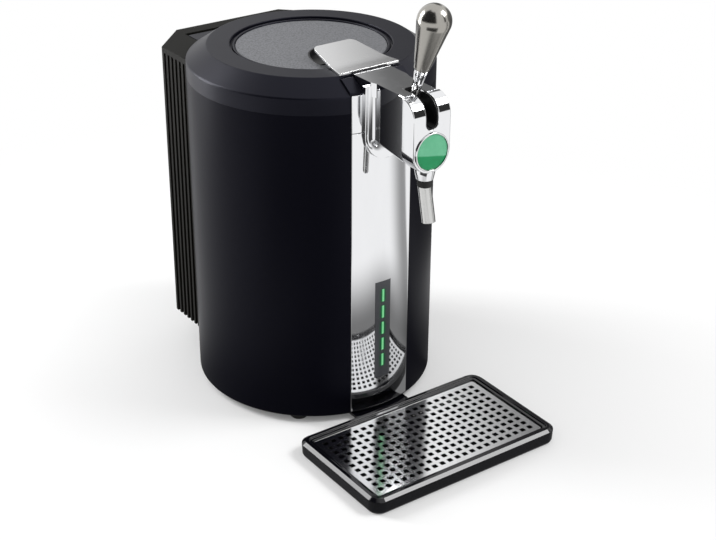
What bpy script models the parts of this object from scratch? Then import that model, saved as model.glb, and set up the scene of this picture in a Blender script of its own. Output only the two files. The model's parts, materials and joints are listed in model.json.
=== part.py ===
"""Counter-top dispenser for a 5 litre mini keg of beer.

Metres, +Z up. The upright body's axis is the Z axis, the part stands on z = 0, the tap
and its drip tray point along -Y, and +X is to the right of someone who draws a beer.
The body is a turned shell round an insulated keg chamber. A lid is hinged at its back,
where a ribbed housing holds the cooler's heat sink and fan, and a lever tap stands on
an arm at the front, above a loose tray with a perforated plate.
"""

from math import acos, atan2, cos, hypot, pi, radians, sin, sqrt, tan

import bmesh
import bpy
from mathutils import Matrix, Vector

# Clearances and the fineness of round pieces
GAP = 0.0003
OVERRUN = 0.004
TURN_STEPS = 64
HIDDEN_STEPS = 48
GRIP_STEPS = 32
BADGE_STEPS = 40
SMALL_STEPS = 24
PIN_STEPS = 16
SMOOTH_ANGLE = radians(32)

# Body shell, its base and its feet
SHELL_WALL = 0.003
FOOT_HEIGHT = 0.0062
FOOT_RADIUS = 0.010
FOOT_INSET = 0.0045
FOOT_ANGLE = radians(42)
FOOT_ROUND = 0.0015
BASE_FLANGE_WIDTH = 0.034
SHELL_EDGE = 0.0024
PAN_WALL = 0.003
PAN_RIM_HEIGHT = 0.016

# Keg chamber, its insulation and what stands under it
KEG_BORE_RADIUS = 0.088
CHAMBER_WALL = 0.0015
CHAMBER_DEPTH = 0.270
CHAMBER_FLOOR = 0.0887
RIM_THICKNESS = 0.0025
RIM_ROUND = 0.0012
INSULATION_FLOOR = 0.010
INSULATION_WALL = 0.0399
TUBE_NOTCH_HALF_WIDTH = 0.008
TUBE_NOTCH_DEPTH = 0.021
POWER_SUPPLY_SIZE = (0.110, 0.060, 0.034)
POWER_SUPPLY_BACK = 0.022
MAIN_BOARD_SIZE = (0.090, 0.040, 0.0016)
MAIN_BOARD_FRONT = 0.034
STANDOFF_RADIUS = 0.0025
STANDOFF_HEIGHT = 0.005
STANDOFF_INSET = 0.006

# Front panel with its level display
PANEL_HALF_ANGLE = radians(16.4)
PANEL_THICKNESS = 0.002
PANEL_PROUD = 0.0006
PANEL_SEAM_DROP = 0.022
PANEL_EDGE = 0.0006
PANEL_STEPS = 12
WINDOW_HALF_WIDTH = 0.0097
WINDOW_BOTTOM = 0.046
WINDOW_HEIGHT = 0.117
WINDOW_PROUD = 0.0003
WINDOW_STEPS = 6
LIGHT_COUNT = 5
LIGHT_HALF_WIDTH = 0.0017
LIGHT_HEIGHT = 0.0146
LIGHT_PITCH = 0.0198
LIGHT_FIRST = 0.0135
LIGHT_STEPS = 2
BOARD_THICKNESS = 0.0016
BOARD_HALF_WIDTH = 0.013
BOARD_DEPTH = 0.012
BOARD_MARGIN = 0.004
LIGHT_SLOT_MARGIN = 0.003

# Lid
LID_BAND = 0.018
LID_SHOULDER_RISE = 0.014
LID_SHOULDER_INSET = 0.022
LID_WALL = 0.003
LID_DECK = 0.0042
LID_EDGE = 0.0012
GROOVE_INSET = 0.047
GROOVE_WIDTH = 0.0024
GROOVE_DEPTH = 0.0042
LIP_WIDTH = 0.003
LIP_DROP = 0.0018
DISC_DROP = 0.0012
DISC_THICKNESS = 0.003
DISC_SEAT = 0.005
WELL_HALF_WIDTH = 0.029
WELL_LENGTH = 0.044
WELL_DEPTH = 0.0075
WELL_WALL = 0.0016
WELL_STRAIGHT = radians(8)
WELL_STEPS = 24
PLUG_DEPTH = 0.010
PLUG_CLEARANCE = 0.0015
PLUG_WALL = 0.0025
SEAL_SETBACK = 0.0045
SEAL_WIDTH = 0.006
SEAL_HEIGHT = 0.0035
SEAL_SINK = 0.0028

# Chrome lifting plate on the lid
PLATE_OUTER_HALF_WIDTH = 0.0372
PLATE_INNER_HALF_WIDTH = 0.025
PLATE_INSET = 0.0265
PLATE_LENGTH = 0.067
WELL_BEHIND_PLATE = 0.0165
PLATE_THICKNESS = 0.0026
PLATE_RISE = 0.0070
PLATE_SEAT_LENGTH = 0.020
PLATE_CORNER = 0.008
PLATE_EDGE = 0.0007

# Lid hinge
HINGE_HALF_WIDTH = 0.066
HINGE_BEHIND_BODY = 0.014
HINGE_DROP = 0.006
HINGE_BARREL_RADIUS = 0.0055
HINGE_PIN_RADIUS = 0.002
HINGE_SIDE_CLEARANCE = 0.0006
HINGE_REAR_CLEARANCE = 0.0012
HINGE_WALL = 0.003

# Rear housing with its fins
REAR_SIDE_INSET = 0.024
REAR_DEPTH = 0.039
REAR_OVERLAP = 0.073
REAR_CHAMFER = 0.0415
REAR_BOTTOM = 0.045
REAR_ABOVE_SEAM = 0.011
REAR_WALL = 0.0045
REAR_CAP = 0.006
FIN_PITCH = 0.0083
FIN_SLOT_WIDTH = 0.0042
FIN_SLOT_DEPTH = 0.0026
FIN_EDGE_MARGIN = 0.0052
VENT_WIDTH = 0.003
INLET_COUNT = 9
INLET_PITCH = 0.011
INLET_WIDTH = 0.005
INLET_LENGTH = 0.018
VENT_HALF_HEIGHT = 0.043

# Cooler: cold plate, thermoelectric module, heat sink and fan
COOLER_LIFT = 0.1163
COLD_PLATE_SIZE = 0.068
MODULE_SIZE = (0.040, 0.004, 0.040)
SINK_INSET = 0.0266
SINK_BASE = 0.005
SINK_WIDTH = 0.104
SINK_HEIGHT = 0.112
FIN_THICKNESS = 0.0016
SINK_FIN_COUNT = 14
FAN_SIZE = 0.092
FAN_DEPTH = 0.025
FAN_REAR_CLEARANCE = 0.0034
FAN_BORE_RADIUS = 0.043
FAN_HUB_RADIUS = 0.0155
FAN_HUB_PLATE = 0.003
FAN_SPOKE_WIDTH = 0.005
FAN_SHAFT_RADIUS = 0.003
FAN_SHAFT_LENGTH = 0.008
FAN_TIP_CLEARANCE = 0.0018
FAN_AXIAL_CLEARANCE = 0.0012
FAN_BLADE_COUNT = 7
FAN_BLADE_THICKNESS = 0.0014
FAN_BLADE_CHORD = 0.019
FAN_BLADE_PITCH = radians(42)
FAN_BLADE_SINK = 0.003
FAN_CORNER = 0.005
WINDOW_CLEARANCE = 0.002

# Mains inlet and switch, low on the back
SOCKET_SIZE = (0.028, 0.016, 0.022)
SOCKET_CENTRE = (-0.040, 0.078)
SOCKET_PROUD = 0.0012
SOCKET_WALL = 0.0028
SOCKET_FLOOR = 0.004
SOCKET_PIN_SIZE = (0.0022, 0.0075, 0.0045)
SOCKET_PIN_SPREAD = 0.007
SOCKET_PIN_LIFT = 0.0025
SWITCH_SIZE = (0.020, 0.014, 0.026)
SWITCH_CENTRE = (0.040, 0.078)
SWITCH_WALL = 0.0024
ROCKER_CLEARANCE = 0.0008
ROCKER_TILT = radians(8)
ROCKER_AXLE_RADIUS = 0.0012
ROCKER_SINK = 0.0035
ROCKER_FACE = 0.0045
ROCKER_BACK = 0.0042

# Tap: reaches run forward from the body's face, and drops run down from the arm's top
TAP_BORE_RADIUS = 0.006
TAP_BORE_DROP = 0.046
FRAME_HALF_WIDTH = 0.0265
FRAME_PROUD = 0.0046
FRAME_ROUND_DROP = 0.059
FRAME_HORN_DROP = 0.005
FRAME_EDGE = 0.0012
ARM_HALF_WIDTH = 0.020
ARM_ROOT_HALF_WIDTH = 0.0225
ARM_ABOVE_LID = 0.0007
ARM_BEHIND_FACE = 0.025
ARM_ROOT_FLARE = 0.013
ARM_BOTTOM_REAR_DROP = 0.062
ARM_BOTTOM_FRONT_DROP = 0.0692
ARM_EDGE = 0.0012
NOTCH_SIDE_CLEARANCE = 0.0007
LID_NOTCH_CLEARANCE = 0.0006
BRIDGE_SINK = 0.0016
HEAD_HALF_WIDTH = 0.0225
HEAD_REACH = 0.057
HEAD_DEPTH = 0.020
HEAD_DROP = 0.077
HEAD_EDGE = 0.0014
NOSE_STEPS = 10
CHIN_STEPS = 24
SLOT_HALF_WIDTH = 0.0074
SLOT_REACH = 0.0372
SLOT_DEPTH = 0.0316
SLOT_ROUND_SHARE = 0.96
LINER_WALL = 0.0008
LINER_INSET = 0.0012

# Round badge on the tap's face, left bare
BADGE_RADIUS = 0.0202
BADGE_RIM_WIDTH = 0.0014
BADGE_RIM_DEPTH = 0.0014
BADGE_FACE_DEPTH = 0.0011

# Lever
LEVER_PIVOT_REACH = 0.0442
LEVER_PIVOT_DROP = 0.015
LEVER_LEAN = radians(18.5)
LEVER_HUB_RADIUS = 0.0062
LEVER_HUB_HALF_WIDTH = 0.0056
LEVER_STEM_RADIUS = 0.0044
LEVER_NECK_START = 0.020
LEVER_NECK_START_RADIUS = 0.0046
LEVER_GRIP_START = 0.0423
LEVER_NECK_TOP_RADIUS = 0.0072
LEVER_GRIP_NECK_RADIUS = 0.0076
LEVER_KNOB_RADIUS = 0.0169
LEVER_KNOB_CENTRE = 0.0970
LEVER_FLUTE_COUNT = 12
LEVER_FLUTE_DEPTH = 0.0011
PIVOT_PIN_RADIUS = 0.002
PIVOT_PIN_END = 0.0035

# Pinch valve under the lever
VALVE_RADIUS = 0.0038
VALVE_HEAD_CLEARANCE = 0.0008
VALVE_TIP_ABOVE_BORE_FLOOR = 0.0014
VALVE_LIFT = 0.004

# Spout
SPOUT_REACH = 0.067
NECK_TOP_RADIUS = 0.0105
NECK_BOTTOM_RADIUS = 0.0086
NECK_HEIGHT = 0.0089
COLLAR_RADIUS = 0.0077
COLLAR_HEIGHT = 0.0070
COLLAR_ROUND = 0.0008
SPOUT_RADIUS = 0.0069
SPOUT_BORE_RADIUS = 0.0054
SPOUT_DROP = 0.0535
SPOUT_TILT = radians(13.0)

# Drip tray and its perforated plate
TRAY_HALF_WIDTH = 0.121
TRAY_STANDS_OFF = 0.014
TRAY_DEPTH = 0.143
TRAY_HEIGHT = 0.0175
TRAY_CORNER = 0.014
TRAY_EDGE = 0.0024
TRAY_RIM = 0.0085
TRAY_STEP = 0.0016
TRAY_LEDGE = 0.0035
TRAY_SEAT = 0.0048
TRAY_SEAT_WIDTH = 0.005
TRAY_FLOOR = 0.003
TRAY_BASIN_CORNER = 0.002
TONGUE_HALF_WIDTH = 0.035
TONGUE_REACH = 0.036
TONGUE_THICKNESS = 0.003
GRID_THICKNESS = 0.0012
GRID_CORNER = 0.004
HOLE_ROWS = 11
HOLE_COLUMNS = 21
HOLE_PITCH = 0.0099
HOLE_HALF_WIDTH = 0.0023

# Heights, radii and distances that follow from the sizes above
LINER_RADIUS = KEG_BORE_RADIUS + CHAMBER_WALL
BODY_RADIUS = LINER_RADIUS + INSULATION_WALL + 2 * GAP + SHELL_WALL
CHAMBER_TOP = CHAMBER_FLOOR + CHAMBER_DEPTH
SEAM_HEIGHT = CHAMBER_TOP + GAP
SHELL_BOTTOM = FOOT_HEIGHT + GAP
SHELL_BORE = BODY_RADIUS - SHELL_WALL
PAN_BOTTOM = SHELL_BOTTOM + SHELL_WALL + GAP
PAN_TOP = PAN_BOTTOM + PAN_WALL
COLLAR_BOTTOM = CHAMBER_TOP - RIM_THICKNESS
INSULATION_BOTTOM = CHAMBER_FLOOR - CHAMBER_WALL - GAP - INSULATION_FLOOR
PANEL_OUTER = BODY_RADIUS + PANEL_PROUD
PANEL_INNER = PANEL_OUTER - PANEL_THICKNESS
PANEL_SEAM_HEIGHT = SEAM_HEIGHT - PANEL_SEAM_DROP
NOTCH_HALF_WIDTH = PANEL_OUTER * sin(PANEL_HALF_ANGLE) + NOTCH_SIDE_CLEARANCE
LID_BOTTOM = SEAM_HEIGHT + GAP
LID_SHOULDER = LID_BOTTOM + LID_BAND
LID_TOP = LID_SHOULDER + LID_SHOULDER_RISE
LID_TOP_RADIUS = BODY_RADIUS - LID_SHOULDER_INSET
GROOVE_RADIUS = BODY_RADIUS - GROOVE_INSET
DISC_RADIUS = GROOVE_RADIUS - GROOVE_WIDTH - LIP_WIDTH - GAP
DISC_TOP = LID_TOP - LIP_DROP - DISC_DROP
SEAL_INNER_RADIUS = KEG_BORE_RADIUS + SEAL_SETBACK
PLATE_FRONT = BODY_RADIUS - PLATE_INSET
WELL_CENTRE = PLATE_FRONT - PLATE_LENGTH + WELL_BEHIND_PLATE
REAR_HALF_WIDTH = BODY_RADIUS - REAR_SIDE_INSET
REAR_BACK = BODY_RADIUS + REAR_DEPTH
REAR_FRONT = BODY_RADIUS - REAR_OVERLAP
REAR_TOP = SEAM_HEIGHT + REAR_ABOVE_SEAM
HINGE_Y = BODY_RADIUS + HINGE_BEHIND_BODY
HINGE_Z = REAR_TOP - HINGE_DROP
COOLER_HEIGHT = CHAMBER_FLOOR + COOLER_LIFT
SINK_FRONT = BODY_RADIUS - SINK_INSET
MODULE_FRONT = SINK_FRONT - GAP - MODULE_SIZE[1]
FAN_FRONT = REAR_BACK - REAR_WALL - FAN_REAR_CLEARANCE - FAN_DEPTH
SINK_BACK = FAN_FRONT - GAP
ARM_TOP = LID_TOP + ARM_ABOVE_LID
ARM_REAR = BODY_RADIUS - ARM_BEHIND_FACE
FRAME_FACE = BODY_RADIUS + FRAME_PROUD
HEAD_REAR = BODY_RADIUS + HEAD_REACH
HEAD_FACE = HEAD_REAR + HEAD_DEPTH
HEAD_BOTTOM = ARM_TOP - HEAD_DROP
TAP_BORE_HEIGHT = ARM_TOP - TAP_BORE_DROP
SLOT_REAR = BODY_RADIUS + SLOT_REACH
SLOT_FLOOR = ARM_TOP - SLOT_DEPTH
BADGE_HEIGHT = HEAD_BOTTOM + HEAD_HALF_WIDTH
LEVER_PIVOT_FORWARD = BODY_RADIUS + LEVER_PIVOT_REACH
LEVER_PIVOT_HEIGHT = ARM_TOP - LEVER_PIVOT_DROP
SPOUT_FORWARD = BODY_RADIUS + SPOUT_REACH
SPOUT_BOTTOM = HEAD_BOTTOM - SPOUT_DROP
TRAY_BACK = BODY_RADIUS + TRAY_STANDS_OFF
TRAY_FRONT = TRAY_BACK + TRAY_DEPTH
GRID_HALF_WIDTH = TRAY_HALF_WIDTH - TRAY_RIM - TRAY_LEDGE - GAP
GRID_BACK = TRAY_BACK + TRAY_RIM + TRAY_LEDGE + GAP
GRID_FRONT = TRAY_FRONT - TRAY_RIM - TRAY_LEDGE - GAP
GRID_BOTTOM = TRAY_HEIGHT - TRAY_SEAT + GAP
ROCKER_HALF_HEIGHT = SWITCH_SIZE[2] / 2 - SWITCH_WALL - 2 * ROCKER_CLEARANCE
ROCKER_REACH = ROCKER_FACE * cos(ROCKER_TILT) + ROCKER_HALF_HEIGHT * sin(ROCKER_TILT)
REAR_REACH = REAR_BACK + SOCKET_PROUD - ROCKER_SINK + ROCKER_REACH

# Finishes: colour, roughness, metallic
FINISHES = {
    "matte_black": ((0.030, 0.031, 0.036), 0.52, 0.0),
    "dark_grey": ((0.080, 0.080, 0.088), 0.45, 0.0),
    "gloss_black": ((0.008, 0.008, 0.009), 0.12, 0.0),
    "chrome": ((0.86, 0.87, 0.88), 0.08, 1.0),
    "satin_steel": ((0.62, 0.61, 0.59), 0.28, 1.0),
    "silver_grey": ((0.42, 0.43, 0.45), 0.42, 0.6),
    "smoked": ((0.035, 0.037, 0.040), 0.15, 0.0),
    "green_light": ((0.10, 0.55, 0.22), 0.30, 0.0),
    "green_enamel": ((0.04, 0.22, 0.09), 0.18, 0.0),
    "aluminium": ((0.72, 0.73, 0.74), 0.35, 1.0),
    "foam": ((0.78, 0.77, 0.72), 0.90, 0.0),
    "rubber": ((0.020, 0.020, 0.020), 0.80, 0.0),
    "board_green": ((0.02, 0.12, 0.05), 0.50, 0.0),
    "ceramic": ((0.86, 0.85, 0.80), 0.60, 0.0),
}


def clear_scene():
    """Empty the scene and give it one collection for the parts and one for the cutters."""
    for obj in list(bpy.data.objects):
        bpy.data.objects.remove(obj, do_unlink=True)
    for name in ("mini_keg_dispenser", "cutters"):
        collection = bpy.data.collections.new(name)
        bpy.context.scene.collection.children.link(collection)


def finish_material(name):
    """The Principled material of one finish, made once."""
    material = bpy.data.materials.get(name)
    if material:
        return material
    colour, roughness, metallic = FINISHES[name]
    material = bpy.data.materials.new(name)
    material.use_nodes = True
    shader = material.node_tree.nodes["Principled BSDF"]
    shader.inputs["Base Color"].default_value = (*colour, 1.0)
    shader.inputs["Roughness"].default_value = roughness
    shader.inputs["Metallic"].default_value = metallic
    material.diffuse_color = (*colour, 1.0)
    return material


def part(obj, name, finish):
    """Name a piece, give it its finish and put it among the parts."""
    obj.name = name
    obj.data.name = name
    obj.data.materials.clear()
    obj.data.materials.append(finish_material(finish))
    bpy.data.collections["mini_keg_dispenser"].objects.link(obj)
    return obj


def as_cutter(obj):
    """Keep a shape that cuts or joins others out of the render."""
    obj.hide_render = True
    obj.display_type = "WIRE"
    bpy.data.collections["cutters"].objects.link(obj)
    return obj


def combine(obj, other, operation="DIFFERENCE"):
    """Add a Boolean with one helper shape to a piece."""
    if not other.users_collection:
        as_cutter(other)
    modifier = obj.modifiers.new(operation.lower(), "BOOLEAN")
    modifier.operation = operation
    modifier.solver = "EXACT"
    modifier.object = other
    return obj


def bevel(obj, width, segments=2, angle=radians(40)):
    """Round a piece's sharp edges."""
    modifier = obj.modifiers.new("round", "BEVEL")
    modifier.width = width
    modifier.segments = segments
    modifier.limit_method = "ANGLE"
    modifier.angle_limit = angle
    return obj


def round_edges(obj, chosen, width, steps):
    """Round the edges of a shape that a test picks."""
    mesh_data = bmesh.new()
    mesh_data.from_mesh(obj.data)
    edges = [edge for edge in mesh_data.edges if chosen(*(vert.co for vert in edge.verts))]
    bmesh.ops.bevel(
        mesh_data, geom=edges, offset=width, segments=steps, profile=0.5, affect="EDGES", material=-1,
    )
    mesh_data.to_mesh(obj.data)
    mesh_data.free()
    return obj


def from_bmesh(mesh_data, name="shape"):
    """A loose object made from a bmesh, with its faces turned outwards."""
    bmesh.ops.recalc_face_normals(mesh_data, faces=mesh_data.faces)
    mesh = bpy.data.meshes.new(name)
    mesh_data.to_mesh(mesh)
    mesh_data.free()
    return bpy.data.objects.new(name, mesh)


def prism(outline, low, high, axis="Z"):
    """Extrude a closed outline from low to high.

    Along Z the outline holds (x, y), along X it holds (y, z) and along Y it holds (x, z).
    """
    place = {
        "Z": lambda a, b, c: (a, b, c),
        "X": lambda a, b, c: (c, a, b),
        "Y": lambda a, b, c: (a, c, b),
    }[axis]
    shape = bmesh.new()
    ring = [shape.verts.new(place(a, b, low)) for a, b in outline]
    face = shape.faces.new(ring)
    grown = bmesh.ops.extrude_face_region(shape, geom=[face])
    moved = [item for item in grown["geom"] if isinstance(item, bmesh.types.BMVert)]
    bmesh.ops.translate(shape, verts=moved, vec=Vector(place(0, 0, high - low)))
    return from_bmesh(shape)


def block(x, y, z):
    """A box between its low and high coordinates, given as a pair for each axis."""
    shape = bmesh.new()
    size = Vector((x[1] - x[0], y[1] - y[0], z[1] - z[0]))
    centre = Vector((x[0] + x[1], y[0] + y[1], z[0] + z[1])) / 2
    bmesh.ops.create_cube(shape, size=1, matrix=Matrix.Translation(centre) @ Matrix.Diagonal(size).to_4x4())
    return from_bmesh(shape)


def rod(radius, start, end, steps=SMALL_STEPS, end_radius=None):
    """A cylinder, or a cone where an end radius is given, from one point to another."""
    start, end = Vector(start), Vector(end)
    along = end - start
    turn = along.to_track_quat("Z", "Y").to_matrix().to_4x4()
    shape = bmesh.new()
    bmesh.ops.create_cone(
        shape, cap_ends=True, segments=steps, radius1=radius,
        radius2=radius if end_radius is None else end_radius, depth=along.length,
        matrix=Matrix.Translation((start + end) / 2) @ turn,
    )
    return from_bmesh(shape)


def turned(profile, centre=(0, 0), steps=TURN_STEPS):
    """Turn a profile of (radius, z) points round the vertical through centre.

    The points run down the outer side and back up the inner side. A profile that starts
    and ends on the axis stays open there.
    """
    closed = profile[0][0] > 0
    mesh = bpy.data.meshes.new("turned")
    edges = [(i, i + 1) for i in range(len(profile) - 1)]
    if closed:
        edges.append((len(profile) - 1, 0))
    mesh.from_pydata([(radius, 0, z) for radius, z in profile], edges, [])
    obj = bpy.data.objects.new("turned", mesh)
    obj.location = (centre[0], centre[1], 0)
    screw = obj.modifiers.new("turn", "SCREW")
    screw.steps = steps
    screw.render_steps = steps
    screw.use_merge_vertices = True
    screw.merge_threshold = 0.00001
    return obj


def arc(centre, radius, start, end, steps):
    """Points on an arc, both ends included."""
    return [
        (centre[0] + radius * cos(start + (end - start) * i / steps),
         centre[1] + radius * sin(start + (end - start) * i / steps))
        for i in range(steps + 1)
    ]


def sector(inner, outer, half_angle, low, high, steps):
    """A piece of a tube wall, centred on the front of the body."""
    front = -pi / 2
    outline = arc((0, 0), outer, front - half_angle, front + half_angle, steps)
    outline += arc((0, 0), inner, front + half_angle, front - half_angle, steps)
    return prism(outline, low, high)


def rounded_rectangle(half_width, front, back, corner, steps=5):
    """The outline of a rectangle with round corners, in plan; front and back are along -Y."""
    centres = (
        (half_width - corner, corner - front, -pi / 2),
        (half_width - corner, -back - corner, 0),
        (corner - half_width, -back - corner, pi / 2),
        (corner - half_width, corner - front, pi),
    )
    return [point for x, y, start in centres for point in arc((x, y), corner, start, start + pi / 2, steps)]


def body_shell():
    """The turned outer shell, open at the top, with a flange that carries the base pan."""
    flange = BODY_RADIUS - BASE_FLANGE_WIDTH
    shell = turned([
        (BODY_RADIUS, SEAM_HEIGHT),
        (BODY_RADIUS, SHELL_BOTTOM + SHELL_EDGE),
        (BODY_RADIUS - SHELL_EDGE, SHELL_BOTTOM),
        (flange, SHELL_BOTTOM),
        (flange, SHELL_BOTTOM + SHELL_WALL),
        (SHELL_BORE, SHELL_BOTTOM + SHELL_WALL),
        (SHELL_BORE, SEAM_HEIGHT),
    ])
    part(shell, "outer_shell", "matte_black")
    recess = sector(
        PANEL_INNER - GAP, BODY_RADIUS + OVERRUN, PANEL_HALF_ANGLE + GAP / BODY_RADIUS,
        SHELL_BOTTOM + SHELL_WALL, SEAM_HEIGHT + OVERRUN, PANEL_STEPS,
    )
    combine(shell, recess)
    combine(shell, tube_notch())
    combine(shell, cooler_window())
    light_slot = block(
        (-LIGHT_HALF_WIDTH - LIGHT_SLOT_MARGIN, LIGHT_HALF_WIDTH + LIGHT_SLOT_MARGIN),
        (-BODY_RADIUS - OVERRUN, BOARD_DEPTH - BODY_RADIUS),
        (WINDOW_BOTTOM + LIGHT_SLOT_MARGIN, WINDOW_BOTTOM + WINDOW_HEIGHT - LIGHT_SLOT_MARGIN),
    )
    combine(shell, light_slot)
    pan_rim = SHELL_BORE - GAP
    pan = turned([
        (0, PAN_TOP),
        (pan_rim - PAN_WALL, PAN_TOP),
        (pan_rim - PAN_WALL, PAN_BOTTOM + PAN_RIM_HEIGHT),
        (pan_rim, PAN_BOTTOM + PAN_RIM_HEIGHT),
        (pan_rim, PAN_BOTTOM),
        (0, PAN_BOTTOM),
    ], steps=HIDDEN_STEPS)
    part(pan, "base_pan", "matte_black")
    ring = BODY_RADIUS - FOOT_INSET - FOOT_RADIUS
    for side, right in (("left", -1), ("right", 1)):
        for end, back in (("front", -1), ("back", 1)):
            foot = turned([
                (0, FOOT_HEIGHT),
                (FOOT_RADIUS, FOOT_HEIGHT),
                (FOOT_RADIUS, FOOT_ROUND),
                (FOOT_RADIUS - FOOT_ROUND, 0),
                (0, 0),
            ], (right * ring * sin(FOOT_ANGLE), back * ring * cos(FOOT_ANGLE)), SMALL_STEPS)
            part(foot, f"foot_{end}_{side}", "rubber")


def tube_notch():
    """Cutter for the notch in the body's rim that the beer tube leaves the chamber by."""
    return block(
        (-TUBE_NOTCH_HALF_WIDTH, TUBE_NOTCH_HALF_WIDTH),
        (-BODY_RADIUS - OVERRUN, OVERRUN - KEG_BORE_RADIUS),
        (SEAM_HEIGHT - TUBE_NOTCH_DEPTH, SEAM_HEIGHT + OVERRUN),
    )


def cooler_window():
    """Cutter for the opening at the back that the cooler sits in."""
    half_width = SINK_WIDTH / 2 + WINDOW_CLEARANCE
    half_height = SINK_HEIGHT / 2 + WINDOW_CLEARANCE
    return block(
        (-half_width, half_width),
        (KEG_BORE_RADIUS / 2, BODY_RADIUS + OVERRUN),
        (COOLER_HEIGHT - half_height, COOLER_HEIGHT + half_height),
    )


def keg_chamber():
    """The chamber that the keg stands in, its insulation and the electrics under it."""
    chamber = turned([
        (LINER_RADIUS, COLLAR_BOTTOM - GAP),
        (LINER_RADIUS, CHAMBER_FLOOR),
        (KEG_BORE_RADIUS, CHAMBER_FLOOR),
        (KEG_BORE_RADIUS, COLLAR_BOTTOM - GAP),
    ], steps=HIDDEN_STEPS)
    part(chamber, "keg_chamber", "aluminium")
    combine(chamber, tube_notch())
    floor_bottom = CHAMBER_FLOOR - CHAMBER_WALL
    floor = rod(LINER_RADIUS, (0, 0, floor_bottom), (0, 0, CHAMBER_FLOOR - GAP), HIDDEN_STEPS)
    part(floor, "chamber_floor", "aluminium")
    rim = SHELL_BORE - GAP
    collar = turned([
        (rim, CHAMBER_TOP),
        (rim, COLLAR_BOTTOM),
        (KEG_BORE_RADIUS, COLLAR_BOTTOM),
        (KEG_BORE_RADIUS, CHAMBER_TOP - RIM_ROUND),
        (KEG_BORE_RADIUS + RIM_ROUND, CHAMBER_TOP),
    ], steps=HIDDEN_STEPS)
    part(collar, "top_collar", "dark_grey")
    combine(collar, tube_notch())
    bore = LINER_RADIUS + GAP
    foam = turned([
        (0, floor_bottom - GAP),
        (bore, floor_bottom - GAP),
        (bore, COLLAR_BOTTOM - GAP),
        (rim, COLLAR_BOTTOM - GAP),
        (rim, INSULATION_BOTTOM),
        (0, INSULATION_BOTTOM),
    ], steps=HIDDEN_STEPS)
    part(foam, "insulation", "foam")
    combine(foam, tube_notch())
    combine(foam, cooler_window())
    board_bottom = WINDOW_BOTTOM - BOARD_MARGIN
    board_top = WINDOW_BOTTOM + WINDOW_HEIGHT + BOARD_MARGIN
    board_back = BODY_RADIUS - BOARD_DEPTH
    pocket_half = BOARD_HALF_WIDTH + GAP
    pocket = block(
        (-pocket_half, pocket_half), (-BODY_RADIUS - OVERRUN, -board_back),
        (board_bottom - OVERRUN, board_top + GAP),
    )
    combine(foam, pocket)
    board = block(
        (-BOARD_HALF_WIDTH, BOARD_HALF_WIDTH), (-board_back - GAP - BOARD_THICKNESS, -board_back - GAP),
        (board_bottom, board_top),
    )
    part(board, "display_board", "board_green")
    width, depth, height = POWER_SUPPLY_SIZE
    supply_floor = PAN_TOP + GAP
    supply = block(
        (-width / 2, width / 2), (POWER_SUPPLY_BACK - depth, POWER_SUPPLY_BACK),
        (supply_floor, supply_floor + height),
    )
    part(bevel(supply, PAN_WALL / 2), "power_supply", "dark_grey")
    width, depth, height = MAIN_BOARD_SIZE
    low = supply_floor + STANDOFF_HEIGHT
    main = block((-width / 2, width / 2), (MAIN_BOARD_FRONT, MAIN_BOARD_FRONT + depth), (low, low + height))
    part(main, "main_board", "board_green")
    for x in (STANDOFF_INSET - width / 2, width / 2 - STANDOFF_INSET):
        for y in (MAIN_BOARD_FRONT + STANDOFF_INSET, MAIN_BOARD_FRONT + depth - STANDOFF_INSET):
            standoff = rod(STANDOFF_RADIUS, (x, y, supply_floor), (x, y, low + height / 2), PIN_STEPS)
            combine(main, standoff, "UNION")


def front_panel():
    """The bright strip down the front, with the level display let into it."""
    window_angle = WINDOW_HALF_WIDTH / BODY_RADIUS
    window_top = WINDOW_BOTTOM + WINDOW_HEIGHT
    panel = sector(
        PANEL_INNER, PANEL_OUTER, PANEL_HALF_ANGLE,
        SHELL_BOTTOM + SHELL_WALL + GAP, PANEL_SEAM_HEIGHT, PANEL_STEPS,
    )
    part(bevel(panel, PANEL_EDGE, 1, radians(60)), "front_panel", "chrome")
    clear_angle = GAP / BODY_RADIUS
    opening = sector(
        PANEL_INNER - OVERRUN, PANEL_OUTER + OVERRUN, window_angle + clear_angle,
        WINDOW_BOTTOM - GAP, window_top + GAP, WINDOW_STEPS,
    )
    combine(panel, opening)
    window_face = PANEL_OUTER + WINDOW_PROUD
    window = sector(PANEL_INNER, window_face, window_angle, WINDOW_BOTTOM, window_top, WINDOW_STEPS)
    part(window, "display_window", "smoked")
    light_angle = LIGHT_HALF_WIDTH / BODY_RADIUS
    for index in range(LIGHT_COUNT):
        low = WINDOW_BOTTOM + LIGHT_FIRST + index * LIGHT_PITCH
        light = sector(
            PANEL_INNER, window_face + WINDOW_PROUD, light_angle, low, low + LIGHT_HEIGHT, LIGHT_STEPS,
        )
        part(light, f"level_light_{index + 1}", "green_light")
        slot = sector(
            PANEL_INNER - OVERRUN, window_face + OVERRUN, light_angle + clear_angle,
            low - GAP, low + LIGHT_HEIGHT + GAP, LIGHT_STEPS,
        )
        combine(window, slot)


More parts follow.
